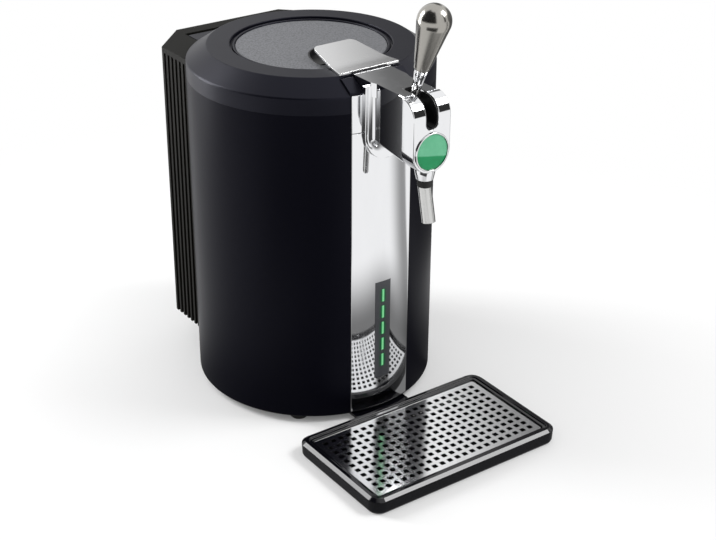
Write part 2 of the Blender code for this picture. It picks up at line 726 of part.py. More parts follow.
def lid():
    """The hinged lid: outer ring, centre disc, inner plug, seal and lifting plate."""
    groove_floor = LID_TOP - GROOVE_DEPTH
    lip_outer = GROOVE_RADIUS - GROOVE_WIDTH
    lip_inner = lip_outer - LIP_WIDTH
    lip_top = LID_TOP - LIP_DROP
    seat = DISC_TOP - DISC_THICKNESS - GAP
    seat_inner = lip_inner - DISC_SEAT
    under = seat - LID_WALL
    slope = LID_SHOULDER_RISE / LID_SHOULDER_INSET
    inner_wall = BODY_RADIUS - LID_WALL
    ring = turned([
        (LID_TOP_RADIUS, LID_TOP),
        (BODY_RADIUS - LID_EDGE / 2, LID_SHOULDER + LID_EDGE / 2 * slope),
        (BODY_RADIUS, LID_SHOULDER - LID_EDGE / 2),
        (BODY_RADIUS, LID_BOTTOM),
        (inner_wall, LID_BOTTOM),
        (inner_wall, LID_SHOULDER - LID_WALL * slope),
        (LID_TOP_RADIUS - LID_WALL * slope, LID_TOP - LID_DECK),
        (GROOVE_RADIUS + LID_WALL, LID_TOP - LID_DECK),
        (GROOVE_RADIUS, under),
        (seat_inner, under),
        (seat_inner, seat),
        (lip_inner, seat),
        (lip_inner, lip_top),
        (lip_outer, lip_top),
        (lip_outer, groove_floor),
        (GROOVE_RADIUS, groove_floor),
        (GROOVE_RADIUS, LID_TOP - LID_EDGE / 2),
        (GROOVE_RADIUS + LID_EDGE / 2, LID_TOP),
    ])
    part(ring, "lid_ring", "matte_black")
    tongue = block(
        (-HINGE_HALF_WIDTH, HINGE_HALF_WIDTH), (BODY_RADIUS / 2, HINGE_Y),
        (LID_BOTTOM, REAR_TOP),
    )
    low, high = LID_BOTTOM - OVERRUN, REAR_TOP + OVERRUN
    inside = rod(BODY_RADIUS - LID_WALL / 2, (0, 0, low), (0, 0, high), TURN_STEPS)
    combine(tongue, inside)
    barrel = rod(
        HINGE_BARREL_RADIUS, (-HINGE_HALF_WIDTH, HINGE_Y, HINGE_Z), (HINGE_HALF_WIDTH, HINGE_Y, HINGE_Z),
    )
    below_barrel = block(
        (-HINGE_HALF_WIDTH - OVERRUN, HINGE_HALF_WIDTH + OVERRUN),
        (HINGE_Y - HINGE_BARREL_RADIUS, HINGE_Y + OVERRUN),
        (LID_BOTTOM - OVERRUN, HINGE_Z),
    )
    combine(tongue, below_barrel)
    combine(tongue, barrel, "UNION")
    combine(ring, tongue, "UNION")
    pin_hole = rod(
        HINGE_PIN_RADIUS + GAP, (-HINGE_HALF_WIDTH - OVERRUN, HINGE_Y, HINGE_Z),
        (HINGE_HALF_WIDTH + OVERRUN, HINGE_Y, HINGE_Z), PIN_STEPS,
    )
    combine(ring, pin_hole)
    combine(ring, arm_notch())
    disc = turned([
        (0, DISC_TOP),
        (DISC_RADIUS - LID_EDGE / 2, DISC_TOP),
        (DISC_RADIUS, DISC_TOP - LID_EDGE / 2),
        (DISC_RADIUS, DISC_TOP - DISC_THICKNESS),
        (0, DISC_TOP - DISC_THICKNESS),
    ])
    part(disc, "lid_disc", "silver_grey")
    finger_well(disc)
    plug_radius = KEG_BORE_RADIUS - PLUG_CLEARANCE
    plug_bottom = LID_BOTTOM - PLUG_DEPTH
    skirt = inner_wall - GAP
    liner = turned([
        (0, LID_BOTTOM + PLUG_WALL),
        (skirt, LID_BOTTOM + PLUG_WALL),
        (skirt, LID_BOTTOM),
        (0, LID_BOTTOM),
    ], steps=HIDDEN_STEPS)
    part(liner, "lid_liner", "dark_grey")
    combine(liner, arm_notch())
    seal_outer = SEAL_INNER_RADIUS + SEAL_WIDTH
    seal_bottom = LID_BOTTOM + SEAL_SINK - SEAL_HEIGHT + GAP
    seal_top = seal_bottom + SEAL_HEIGHT - 2 * GAP
    groove = turned([
        (seal_outer + GAP, LID_BOTTOM + SEAL_SINK),
        (seal_outer + GAP, LID_BOTTOM - OVERRUN),
        (SEAL_INNER_RADIUS - GAP, LID_BOTTOM - OVERRUN),
        (SEAL_INNER_RADIUS - GAP, LID_BOTTOM + SEAL_SINK),
    ], steps=HIDDEN_STEPS)
    bead = turned([
        (seal_outer + PLUG_WALL / 2, LID_BOTTOM + SEAL_SINK + PLUG_WALL / 2),
        (seal_outer + PLUG_WALL / 2, LID_BOTTOM + PLUG_WALL / 2),
        (SEAL_INNER_RADIUS - PLUG_WALL / 2, LID_BOTTOM + PLUG_WALL / 2),
        (SEAL_INNER_RADIUS - PLUG_WALL / 2, LID_BOTTOM + SEAL_SINK + PLUG_WALL / 2),
    ], steps=HIDDEN_STEPS)
    combine(liner, bead, "UNION")
    combine(liner, groove)
    seal = turned([
        (seal_outer, seal_top),
        (seal_outer, seal_bottom + GAP),
        (seal_outer - GAP, seal_bottom),
        (SEAL_INNER_RADIUS + GAP, seal_bottom),
        (SEAL_INNER_RADIUS, seal_bottom + GAP),
        (SEAL_INNER_RADIUS, seal_top),
    ], steps=HIDDEN_STEPS)
    part(seal, "lid_seal", "rubber")
    plug_top = LID_BOTTOM - GAP
    plug_bore = plug_radius - PLUG_WALL
    plug = turned([
        (0, plug_bottom + PLUG_WALL),
        (plug_bore, plug_bottom + PLUG_WALL),
        (plug_bore, plug_top),
        (plug_radius, plug_top),
        (plug_radius, plug_bottom + PLUG_WALL),
        (plug_bore, plug_bottom),
        (0, plug_bottom),
    ], steps=HIDDEN_STEPS)
    part(plug, "lid_plug", "dark_grey")
    lifting_plate()


def arm_notch():
    """Cutter for the notch in the lid that the arm's root and the bridge under it fill."""
    return block(
        (-NOTCH_HALF_WIDTH, NOTCH_HALF_WIDTH), (-BODY_RADIUS - OVERRUN, LID_NOTCH_CLEARANCE - ARM_REAR),
        (LID_BOTTOM - PLUG_DEPTH - OVERRUN, LID_TOP + OVERRUN),
    )


def well_prism(inset, low, high):
    """A piece of the finger well's outline, an oval that is cut off square under the lifting plate."""
    half_width = WELL_HALF_WIDTH - inset
    length = WELL_LENGTH - inset
    turn = pi + 2 * WELL_STRAIGHT
    outline = [
        (half_width * cos(turn * i / WELL_STEPS - WELL_STRAIGHT),
         length * sin(turn * i / WELL_STEPS - WELL_STRAIGHT) - WELL_CENTRE)
        for i in range(WELL_STEPS + 1)
    ]
    return prism(outline, low, high)


def finger_well(disc):
    """The dark well in the disc, so that a finger fits under the lifting plate."""
    floor = DISC_TOP - WELL_DEPTH
    well = well_prism(0, floor - WELL_WALL, DISC_TOP)
    part(well, "finger_well", "matte_black")
    combine(well, well_prism(WELL_WALL, floor, DISC_TOP + OVERRUN))
    combine(disc, well_prism(-GAP, floor - OVERRUN, DISC_TOP + OVERRUN))


def lifting_plate():
    """The bright wedge that the lid is lifted by: flat on the ring, rising inwards."""
    back = PLATE_FRONT - PLATE_LENGTH
    low = LID_TOP + GAP
    side = prism([
        (-PLATE_FRONT, low),
        (PLATE_SEAT_LENGTH - PLATE_FRONT, low),
        (-back, low + PLATE_RISE),
        (-back, low + PLATE_RISE + PLATE_THICKNESS),
        (-PLATE_FRONT, low + PLATE_THICKNESS),
    ], -PLATE_OUTER_HALF_WIDTH - OVERRUN, PLATE_OUTER_HALF_WIDTH + OVERRUN, "X")
    plan = prism([
        (-PLATE_OUTER_HALF_WIDTH, -PLATE_FRONT), (PLATE_OUTER_HALF_WIDTH, -PLATE_FRONT),
        (PLATE_INNER_HALF_WIDTH, -back), (-PLATE_INNER_HALF_WIDTH, -back),
    ], LID_TOP - OVERRUN, LID_TOP + PLATE_RISE + PLATE_THICKNESS + OVERRUN)
    round_edges(plan, lambda a, b: abs(a.z - b.z) > OVERRUN and a.y > GAP - PLATE_FRONT, PLATE_CORNER, 6)
    part(side, "lifting_plate", "satin_steel")
    combine(side, plan, "INTERSECT")
    bevel(side, PLATE_EDGE, 1)


def rear_outline(inset=0):
    """The rear housing's plan outline, or one that lies an inset inside it."""
    chamfer = REAR_CHAMFER - inset * (2 - sqrt(2))
    half_width = REAR_HALF_WIDTH - inset
    back = REAR_BACK - inset
    return [
        (-half_width, REAR_FRONT), (half_width, REAR_FRONT), (half_width, back - chamfer),
        (half_width - chamfer, back), (chamfer - half_width, back), (-half_width, back - chamfer),
    ]


def slots_along(start, end, width, depth, low, high, reach=REAR_HALF_WIDTH):
    """Upright slot cutters spread evenly along one straight stretch of the plan outline.

    Those further from the middle plane than the reach are left out.
    """
    start, end = Vector(start), Vector(end)
    along = end - start
    count = int((along.length - 2 * FIN_EDGE_MARGIN) / FIN_PITCH) + 1
    first = (along.length - (count - 1) * FIN_PITCH) / 2
    direction = along.normalized()
    outwards = Vector((direction.y, -direction.x))
    shape = bmesh.new()
    for index in range(count):
        point = start + direction * (first + index * FIN_PITCH)
        if abs(point.x) > reach:
            continue
        middle = point + outwards * (OVERRUN - depth) / 2
        turn = Matrix.Rotation(atan2(direction.y, direction.x), 4, "Z")
        size = Matrix.Diagonal((width, depth + OVERRUN, high - low, 1))
        place = Matrix.Translation((middle.x, middle.y, (low + high) / 2))
        bmesh.ops.create_cube(shape, size=1, matrix=place @ turn @ size)
    return from_bmesh(shape)


def rear_housing():
    """The finned housing behind the body, open to it, with the hinge pocket in its top."""
    housing = prism(rear_outline(), REAR_BOTTOM, REAR_TOP)
    part(housing, "rear_housing", "matte_black")
    combine(housing, prism(rear_outline(REAR_WALL), REAR_BOTTOM + REAR_WALL, REAR_TOP - REAR_WALL))
    pocket_half = HINGE_HALF_WIDTH + HINGE_SIDE_CLEARANCE
    pocket_back = HINGE_Y + HINGE_BARREL_RADIUS + HINGE_REAR_CLEARANCE
    pocket_floor = min(LID_BOTTOM, HINGE_Z - HINGE_BARREL_RADIUS) - HINGE_REAR_CLEARANCE
    walls = block(
        (-pocket_half - HINGE_WALL, pocket_half + HINGE_WALL), (REAR_FRONT, pocket_back + HINGE_WALL),
        (pocket_floor - HINGE_WALL, REAR_TOP - REAR_WALL / 2),
    )
    combine(housing, walls, "UNION")
    pocket = block((-pocket_half, pocket_half), (0, pocket_back), (pocket_floor, REAR_TOP + OVERRUN))
    combine(housing, pocket)
    corners = rear_outline()
    slot_low = REAR_BOTTOM - OVERRUN
    slot_high = REAR_TOP - REAR_CAP
    body_edge = sqrt(BODY_RADIUS ** 2 - REAR_HALF_WIDTH ** 2)
    stretches = (
        ((REAR_HALF_WIDTH, body_edge), corners[2]),
        (corners[2], corners[3]),
        (corners[3], corners[4]),
        (corners[4], corners[5]),
        (corners[5], (-REAR_HALF_WIDTH, body_edge)),
    )
    for start, end in stretches:
        combine(housing, slots_along(start, end, FIN_SLOT_WIDTH, FIN_SLOT_DEPTH, slot_low, slot_high))
    vents = slots_along(
        corners[3], corners[4], VENT_WIDTH, REAR_WALL + OVERRUN,
        COOLER_HEIGHT - VENT_HALF_HEIGHT, COOLER_HEIGHT + VENT_HALF_HEIGHT, FAN_BORE_RADIUS,
    )
    combine(housing, vents)
    body = rod(BODY_RADIUS + GAP, (0, 0, 0), (0, 0, LID_TOP), TURN_STEPS)
    combine(housing, body)
    lid_room = BODY_RADIUS + HINGE_REAR_CLEARANCE
    combine(housing, rod(lid_room, (0, 0, SEAM_HEIGHT), (0, 0, LID_TOP + OVERRUN), TURN_STEPS))
    inlets = bmesh.new()
    for index in range(INLET_COUNT):
        x = (index - (INLET_COUNT - 1) / 2) * INLET_PITCH
        size = Matrix.Diagonal((INLET_WIDTH, INLET_LENGTH, REAR_WALL + 2 * OVERRUN, 1))
        middle = REAR_BACK - REAR_WALL - OVERRUN - INLET_LENGTH / 2
        place = Matrix.Translation((x, middle, REAR_BOTTOM + REAR_WALL / 2))
        bmesh.ops.create_cube(inlets, size=1, matrix=place @ size)
    combine(housing, from_bmesh(inlets))
    pin_reach = pocket_half + HINGE_WALL
    pin_hole = rod(
        HINGE_PIN_RADIUS + GAP, (-pin_reach - OVERRUN, HINGE_Y, HINGE_Z),
        (pin_reach + OVERRUN, HINGE_Y, HINGE_Z), PIN_STEPS,
    )
    combine(housing, pin_hole)
    for (width, depth, height), (x, z) in ((SOCKET_SIZE, SOCKET_CENTRE), (SWITCH_SIZE, SWITCH_CENTRE)):
        combine(housing, block(
            (x - width / 2 - GAP, x + width / 2 + GAP), (REAR_BACK - depth, REAR_BACK + OVERRUN),
            (z - height / 2 - GAP, z + height / 2 + GAP),
        ))
    pin = rod(
        HINGE_PIN_RADIUS, (-pin_reach, HINGE_Y, HINGE_Z), (pin_reach, HINGE_Y, HINGE_Z), PIN_STEPS,
    )
    part(pin, "hinge_pin", "satin_steel")


def cooler():
    """Cold plate on the chamber, thermoelectric module, comb heat sink and fan."""
    half = COLD_PLATE_SIZE / 2
    plate = block(
        (-half, half), (LINER_RADIUS / 2, MODULE_FRONT - GAP), (COOLER_HEIGHT - half, COOLER_HEIGHT + half),
    )
    part(plate, "cold_plate", "aluminium")
    combine(plate, rod(LINER_RADIUS + GAP, (0, 0, 0), (0, 0, SEAM_HEIGHT), TURN_STEPS))
    width, depth, height = MODULE_SIZE
    module = block(
        (-width / 2, width / 2), (MODULE_FRONT, MODULE_FRONT + depth),
        (COOLER_HEIGHT - height / 2, COOLER_HEIGHT + height / 2),
    )
    part(module, "thermo_module", "ceramic")
    base_back = SINK_FRONT + SINK_BASE
    half = SINK_WIDTH / 2
    pitch = (SINK_WIDTH - FIN_THICKNESS) / (SINK_FIN_COUNT - 1)
    comb = [(half, SINK_FRONT), (-half, SINK_FRONT)]
    for index in range(SINK_FIN_COUNT):
        left = index * pitch - half
        right = left + FIN_THICKNESS
        comb += [(left, SINK_BACK), (right, SINK_BACK)]
        if index < SINK_FIN_COUNT - 1:
            comb += [(right, base_back), (right + pitch - FIN_THICKNESS, base_back)]
    sink = prism(comb, COOLER_HEIGHT - SINK_HEIGHT / 2, COOLER_HEIGHT + SINK_HEIGHT / 2)
    part(sink, "heat_sink", "aluminium")
    fan()


def fan():
    """The fan behind the heat sink: a square frame with spokes, and its rotor."""
    half = FAN_SIZE / 2
    back = FAN_FRONT + FAN_DEPTH
    frame = block((-half, half), (FAN_FRONT, back), (COOLER_HEIGHT - half, COOLER_HEIGHT + half))
    round_edges(frame, lambda a, b: abs(a.y - b.y) > FAN_DEPTH / 2, FAN_CORNER, 3)
    part(frame, "fan_frame", "gloss_black")
    centre = Vector((0, 0, COOLER_HEIGHT))
    front = Vector((0, FAN_FRONT, 0))
    combine(frame, rod(
        FAN_BORE_RADIUS, centre + front - Vector((0, OVERRUN, 0)),
        centre + Vector((0, back + OVERRUN, 0)), HIDDEN_STEPS,
    ))
    plate_back = FAN_FRONT + FAN_HUB_PLATE
    hub = rod(FAN_HUB_RADIUS, centre + front, centre + Vector((0, plate_back, 0)))
    reach = (FAN_BORE_RADIUS + half) / 2
    for x, z in ((reach, FAN_SPOKE_WIDTH / 2), (FAN_SPOKE_WIDTH / 2, reach)):
        combine(hub, block(
            (-x, x), (FAN_FRONT, plate_back), (COOLER_HEIGHT - z, COOLER_HEIGHT + z),
        ), "UNION")
    shaft_end = plate_back + FAN_SHAFT_LENGTH
    combine(hub, rod(
        FAN_SHAFT_RADIUS, centre + Vector((0, FAN_FRONT + FAN_HUB_PLATE / 2, 0)),
        centre + Vector((0, shaft_end, 0)), PIN_STEPS,
    ), "UNION")
    combine(frame, hub, "UNION")
    rotor_front = plate_back + FAN_AXIAL_CLEARANCE
    rotor_back = back - FAN_AXIAL_CLEARANCE
    rotor = rod(FAN_HUB_RADIUS, centre + Vector((0, rotor_front, 0)), centre + Vector((0, rotor_back, 0)))
    part(rotor, "fan_rotor", "gloss_black")
    blades = bmesh.new()
    tip = FAN_BORE_RADIUS - FAN_TIP_CLEARANCE
    root = FAN_HUB_RADIUS - FAN_BLADE_SINK
    middle = (rotor_front + rotor_back) / 2
    for index in range(FAN_BLADE_COUNT):
        spin = Matrix.Rotation(2 * pi * index / FAN_BLADE_COUNT, 4, "Y")
        pitch = Matrix.Rotation(FAN_BLADE_PITCH, 4, "X")
        size = Matrix.Diagonal((tip - root, FAN_BLADE_CHORD, FAN_BLADE_THICKNESS, 1))
        out = Matrix.Translation(((tip + root) / 2, 0, 0))
        place = Matrix.Translation((0, middle, COOLER_HEIGHT))
        bmesh.ops.create_cube(blades, size=1, matrix=place @ spin @ out @ pitch @ size)
    combine(rotor, from_bmesh(blades), "UNION")
    combine(rotor, rod(
        FAN_SHAFT_RADIUS + GAP, centre + Vector((0, rotor_front - OVERRUN, 0)),
        centre + Vector((0, shaft_end + GAP, 0)), PIN_STEPS,
    ))


def mains_fittings():
    """The cold-appliance inlet and the rocker switch, low on the back."""
    width, depth, height = SOCKET_SIZE
    x, z = SOCKET_CENTRE
    face = REAR_BACK + SOCKET_PROUD
    front = face - depth
    socket = block((x - width / 2, x + width / 2), (front, face), (z - height / 2, z + height / 2))
    part(socket, "mains_inlet", "gloss_black")
    combine(socket, block(
        (x - width / 2 + SOCKET_WALL, x + width / 2 - SOCKET_WALL), (front + SOCKET_FLOOR, face + OVERRUN),
        (z - height / 2 + SOCKET_WALL, z + height / 2 - SOCKET_WALL),
    ))
    pin_width, pin_length, pin_height = SOCKET_PIN_SIZE
    for side in (-1, 0, 1):
        dx = side * SOCKET_PIN_SPREAD
        dz = -SOCKET_PIN_LIFT if side else SOCKET_PIN_LIFT
        combine(socket, block(
            (x + dx - pin_width / 2, x + dx + pin_width / 2),
            (front + SOCKET_FLOOR / 2, front + SOCKET_FLOOR + pin_length),
            (z + dz - pin_height / 2, z + dz + pin_height / 2),
        ), "UNION")
    width, depth, height = SWITCH_SIZE
    x, z = SWITCH_CENTRE
    front = face - depth
    frame = block((x - width / 2, x + width / 2), (front, face), (z - height / 2, z + height / 2))
    part(frame, "switch_frame", "gloss_black")
    combine(frame, block(
        (x - width / 2 + SWITCH_WALL, x + width / 2 - SWITCH_WALL), (front + SWITCH_WALL, face + OVERRUN),
        (z - height / 2 + SWITCH_WALL, z + height / 2 - SWITCH_WALL),
    ))
    half_width = width / 2 - SWITCH_WALL - ROCKER_CLEARANCE
    half_height = ROCKER_HALF_HEIGHT
    dish = half_height * tan(ROCKER_TILT)
    rocker = prism([
        (ROCKER_FACE - dish, 0),
        (ROCKER_FACE, half_height),
        (dish - ROCKER_BACK, half_height),
        (-ROCKER_BACK, 0),
        (dish - ROCKER_BACK, -half_height),
        (ROCKER_FACE, -half_height),
    ], -half_width, half_width, "X")
    part(rocker, "power_switch", "dark_grey")
    axle_half = (width - SWITCH_WALL) / 2
    combine(rocker, rod(ROCKER_AXLE_RADIUS, (-axle_half, 0, 0), (axle_half, 0, 0), PIN_STEPS), "UNION")
    pivot = Vector(rocker_pivot())
    move_with_cutters(rocker, Matrix.Translation(pivot) @ Matrix.Rotation(-ROCKER_TILT, 4, "X"))
    reach = Vector((axle_half + GAP, 0, 0))
    combine(frame, rod(ROCKER_AXLE_RADIUS + GAP, pivot - reach, pivot + reach, PIN_STEPS))


def rocker_pivot():
    """The middle of the rocker's axle."""
    return (SWITCH_CENTRE[0], REAR_BACK + SOCKET_PROUD - ROCKER_SINK, SWITCH_CENTRE[1])


def tap_bore():
    """Cutter for the level bore that the beer tube runs through, from the body to the head."""
    return rod(
        TAP_BORE_RADIUS, (0, OVERRUN - PANEL_INNER, TAP_BORE_HEIGHT),
        (0, -SPOUT_FORWARD, TAP_BORE_HEIGHT), SMALL_STEPS,
    )


def slot_cutter():
    """Cutter for the round-bottomed slot that the lever swings in."""
    slot = block(
        (-SLOT_HALF_WIDTH, SLOT_HALF_WIDTH), (-HEAD_FACE - OVERRUN, -SLOT_REAR),
        (SLOT_FLOOR, ARM_TOP + OVERRUN),
    )
    return round_slot_floor(slot, SLOT_HALF_WIDTH)


def round_slot_floor(slot, half_width):
    """Round the two long lower edges of a slot-shaped block."""
    low = min(vert.co.z for vert in slot.data.vertices)
    return round_edges(
        slot, lambda a, b: max(a.z, b.z) < low + GAP and abs(a.y - b.y) > half_width,
        half_width * SLOT_ROUND_SHARE, 5,
    )


def head_profile(inset=0):
    """The tap head's side outline, with its rounded nose; an inset draws the nose back."""
    radius = HEAD_DEPTH - inset
    nose = arc((-HEAD_REAR, ARM_TOP - HEAD_DEPTH), radius, pi / 2, pi, NOSE_STEPS)
    return [(-HEAD_REAR, HEAD_BOTTOM + inset), *nose, (-HEAD_REAR - radius, HEAD_BOTTOM + inset)]


def tap():
    """Everything that carries the lever: base plate, frame, arm, head, liner and badge."""
    base = sector(
        PANEL_INNER, PANEL_OUTER, PANEL_HALF_ANGLE, PANEL_SEAM_HEIGHT + GAP, LID_SHOULDER, PANEL_STEPS,
    )
    part(base, "tap_base", "chrome")
    combine(base, tap_bore())
    horn_top = ARM_TOP - FRAME_HORN_DROP
    root_half = ARM_ROOT_HALF_WIDTH + GAP
    frame_outline = arc((0, ARM_TOP - FRAME_ROUND_DROP), FRAME_HALF_WIDTH, pi, 2 * pi, 12) + [
        (FRAME_HALF_WIDTH, horn_top), (root_half, horn_top), (root_half, LID_SHOULDER),
        (-root_half, LID_SHOULDER), (-root_half, horn_top), (-FRAME_HALF_WIDTH, horn_top),
    ]
    frame = prism(frame_outline, -FRAME_FACE, -BODY_RADIUS * cos(PANEL_HALF_ANGLE), "Y")
    part(bevel(frame, FRAME_EDGE), "tap_frame", "chrome")
    combine(frame, rod(PANEL_OUTER + GAP, (0, 0, 0), (0, 0, LID_TOP), TURN_STEPS * 2))
    combine(frame, tap_bore())
    arm_front = HEAD_REAR - GAP
    arm_root = FRAME_FACE + GAP
    slab_bottom = LID_SHOULDER + GAP
    arm = prism([
        (-ARM_REAR, ARM_TOP),
        (-ARM_REAR, slab_bottom),
        (-arm_root, slab_bottom),
        (-arm_root, ARM_TOP - ARM_BOTTOM_REAR_DROP),
        (-arm_front, ARM_TOP - ARM_BOTTOM_FRONT_DROP),
        (-arm_front, ARM_TOP),
    ], -FRAME_HALF_WIDTH, FRAME_HALF_WIDTH, "X")
    part(arm, "tap_arm", "chrome")
    right_side = [
        (ARM_ROOT_HALF_WIDTH, OVERRUN - ARM_REAR), (ARM_ROOT_HALF_WIDTH, -arm_root),
        (ARM_HALF_WIDTH, -arm_root - ARM_ROOT_FLARE), (ARM_HALF_WIDTH, -arm_front - OVERRUN),
    ]
    left_side = [(-x, y) for x, y in reversed(right_side)]
    plan = prism(right_side + left_side, HEAD_BOTTOM, ARM_TOP + OVERRUN)
    combine(arm, plan, "INTERSECT")
    bevel(arm, ARM_EDGE)
    bridge_front = PANEL_INNER - GAP
    bridge_top = LID_TOP - BRIDGE_SINK
    bridge_half = NOTCH_HALF_WIDTH - LID_NOTCH_CLEARANCE
    bridge = prism([
        (-ARM_REAR, SEAM_HEIGHT + GAP),
        (-ARM_REAR, bridge_top),
        (-LID_TOP_RADIUS, bridge_top),
        (-BODY_RADIUS, bridge_top - LID_SHOULDER_RISE),
        (-BODY_RADIUS, SEAM_HEIGHT + GAP),
    ], -bridge_half, bridge_half, "X")
    part(bridge, "arm_bridge", "gloss_black")
    body = rod(bridge_front, (0, 0, 0), (0, 0, LID_TOP + OVERRUN), TURN_STEPS * 2)
    combine(bridge, body, "INTERSECT")
    combine(bridge, block(
        (-root_half, root_half), (-BODY_RADIUS - OVERRUN, OVERRUN - ARM_REAR),
        (LID_SHOULDER, LID_TOP + OVERRUN),
    ))
    head = prism(head_profile(), -HEAD_HALF_WIDTH, HEAD_HALF_WIDTH, "X")
    part(head, "tap_head", "chrome")
    front = arc((0, BADGE_HEIGHT), HEAD_HALF_WIDTH, pi, 2 * pi, CHIN_STEPS)
    front += [(HEAD_HALF_WIDTH, ARM_TOP + OVERRUN), (-HEAD_HALF_WIDTH, ARM_TOP + OVERRUN)]
    combine(head, prism(front, -HEAD_FACE - OVERRUN, OVERRUN - HEAD_REAR, "Y"), "INTERSECT")
    bevel(head, HEAD_EDGE)
    for piece in (arm, head):
        combine(piece, slot_cutter())
        combine(piece, tap_bore())
    pin_end = ARM_HALF_WIDTH - PIVOT_PIN_END
    pivot_y, pivot_z = -LEVER_PIVOT_FORWARD, LEVER_PIVOT_HEIGHT
    pin_hole = rod(
        PIVOT_PIN_RADIUS + GAP, (-pin_end - GAP, pivot_y, pivot_z),
        (pin_end + GAP, pivot_y, pivot_z), PIN_STEPS,
    )
    combine(arm, pin_hole)
    valve_bore = rod(
        VALVE_RADIUS + GAP, (0, pivot_y, TAP_BORE_HEIGHT), (0, pivot_y, SLOT_FLOOR + OVERRUN), SMALL_STEPS,
    )
    combine(arm, valve_bore)
    spout_bore = rod(
        TAP_BORE_RADIUS, (0, -SPOUT_FORWARD, HEAD_BOTTOM - OVERRUN), (0, -SPOUT_FORWARD, TAP_BORE_HEIGHT),
    )
    combine(head, spout_bore)
    pin = rod(PIVOT_PIN_RADIUS, (-pin_end, pivot_y, pivot_z), (pin_end, pivot_y, pivot_z), PIN_STEPS)
    part(pin, "pivot_pin", "satin_steel")
    liner_half = SLOT_HALF_WIDTH - GAP
    liner = block(
        (-liner_half, liner_half), (-HEAD_FACE, -SLOT_REAR - GAP),
        (SLOT_FLOOR + GAP, ARM_TOP - LINER_INSET),
    )
    round_slot_floor(liner, liner_half)
    part(liner, "slot_liner", "matte_black")
    throat_half = liner_half - LINER_WALL
    throat = block(
        (-throat_half, throat_half), (-HEAD_FACE - OVERRUN, -SLOT_REAR - GAP + OVERRUN),
        (SLOT_FLOOR + GAP + LINER_WALL, ARM_TOP + OVERRUN),
    )
    combine(liner, round_slot_floor(throat, throat_half))
    keep = prism([
        *head_profile(LINER_INSET)[1:],
        (-ARM_REAR, HEAD_BOTTOM + LINER_INSET), (-ARM_REAR, ARM_TOP - LINER_INSET),
    ], -HEAD_HALF_WIDTH, HEAD_HALF_WIDTH, "X")
    combine(liner, keep, "INTERSECT")
    combine(liner, valve_bore)
    combine(liner, pin_hole)
    badge()


def badge():
    """A bare round badge in a bright rim, on the tap's face."""
    start = HEAD_FACE + GAP

    def disc(radius, back, front):
        return rod(radius, (0, -back, BADGE_HEIGHT), (0, -front, BADGE_HEIGHT), BADGE_STEPS)

    rim = disc(BADGE_RADIUS, start, start + BADGE_RIM_DEPTH)
    part(rim, "badge_rim", "chrome")
    inner = BADGE_RADIUS - BADGE_RIM_WIDTH
    combine(rim, disc(inner, start - OVERRUN, start + BADGE_RIM_DEPTH + OVERRUN))
    face = disc(inner - GAP, start, start + BADGE_FACE_DEPTH)
    part(face, "badge_face", "green_enamel")


def lever():
    """The lever: hub and stem in the slot, fluted neck and club-shaped grip."""
    stem = rod(
        LEVER_HUB_RADIUS, (-LEVER_HUB_HALF_WIDTH, 0, 0), (LEVER_HUB_HALF_WIDTH, 0, 0), SMALL_STEPS,
    )
    part(stem, "lever_stem", "satin_steel")
    combine(stem, rod(LEVER_STEM_RADIUS, (0, 0, 0), (0, 0, LEVER_NECK_START)), "UNION")
    combine(stem, rod(
        PIVOT_PIN_RADIUS + GAP, (-LEVER_HUB_HALF_WIDTH - OVERRUN, 0, 0),
        (LEVER_HUB_HALF_WIDTH + OVERRUN, 0, 0), PIN_STEPS,
    ))
    neck_low = LEVER_NECK_START + GAP
    neck_high = LEVER_GRIP_START - GAP
    neck = fluted_neck(neck_low, neck_high)
    part(neck, "lever_neck", "chrome")
    cone_length = LEVER_KNOB_CENTRE - LEVER_GRIP_START
    to_corner = -atan2(cone_length, LEVER_GRIP_NECK_RADIUS)
    knob_start = to_corner + acos(LEVER_KNOB_RADIUS / hypot(cone_length, LEVER_GRIP_NECK_RADIUS))
    knob = arc((0, LEVER_KNOB_CENTRE), LEVER_KNOB_RADIUS, pi / 2, knob_start, 10)[1:]
    grip = turned([
        (0, LEVER_KNOB_CENTRE + LEVER_KNOB_RADIUS),
        *knob,
        (LEVER_GRIP_NECK_RADIUS, LEVER_GRIP_START),
        (0, LEVER_GRIP_START),
    ], steps=GRIP_STEPS)
    part(grip, "lever_grip", "satin_steel")
    tilt = Matrix.Rotation(LEVER_LEAN, 4, "X")
    place = Matrix.Translation((0, -LEVER_PIVOT_FORWARD, LEVER_PIVOT_HEIGHT))
    for piece in (stem, neck, grip):
        move_with_cutters(piece, place @ tilt)


def move_with_cutters(piece, move):
    """Move a piece together with the shapes that its Booleans use."""
    for modifier in piece.modifiers:
        if modifier.type == "BOOLEAN":
            modifier.object.matrix_world = move @ modifier.object.matrix_world
    piece.matrix_world = move @ piece.matrix_world


def fluted_neck(low, high):
    """A cone whose section is a ring of flutes, wider at the grip."""
    count = LEVER_FLUTE_COUNT * 2
    shape = bmesh.new()
    rings = []
    for z, radius in ((low, LEVER_NECK_START_RADIUS), (high, LEVER_NECK_TOP_RADIUS)):
        depth = LEVER_FLUTE_DEPTH * radius / LEVER_NECK_TOP_RADIUS
        rings.append([
            shape.verts.new((
                (radius - depth * (i % 2)) * cos(2 * pi * i / count),
                (radius - depth * (i % 2)) * sin(2 * pi * i / count), z,
            ))
            for i in range(count)
        ])
    bottom = shape.faces.new(rings[0])
    top = shape.faces.new(rings[1])
    edges = list(bottom.edges) + list(top.edges)
    bmesh.ops.bridge_loops(shape, edges=edges)
    return from_bmesh(shape)


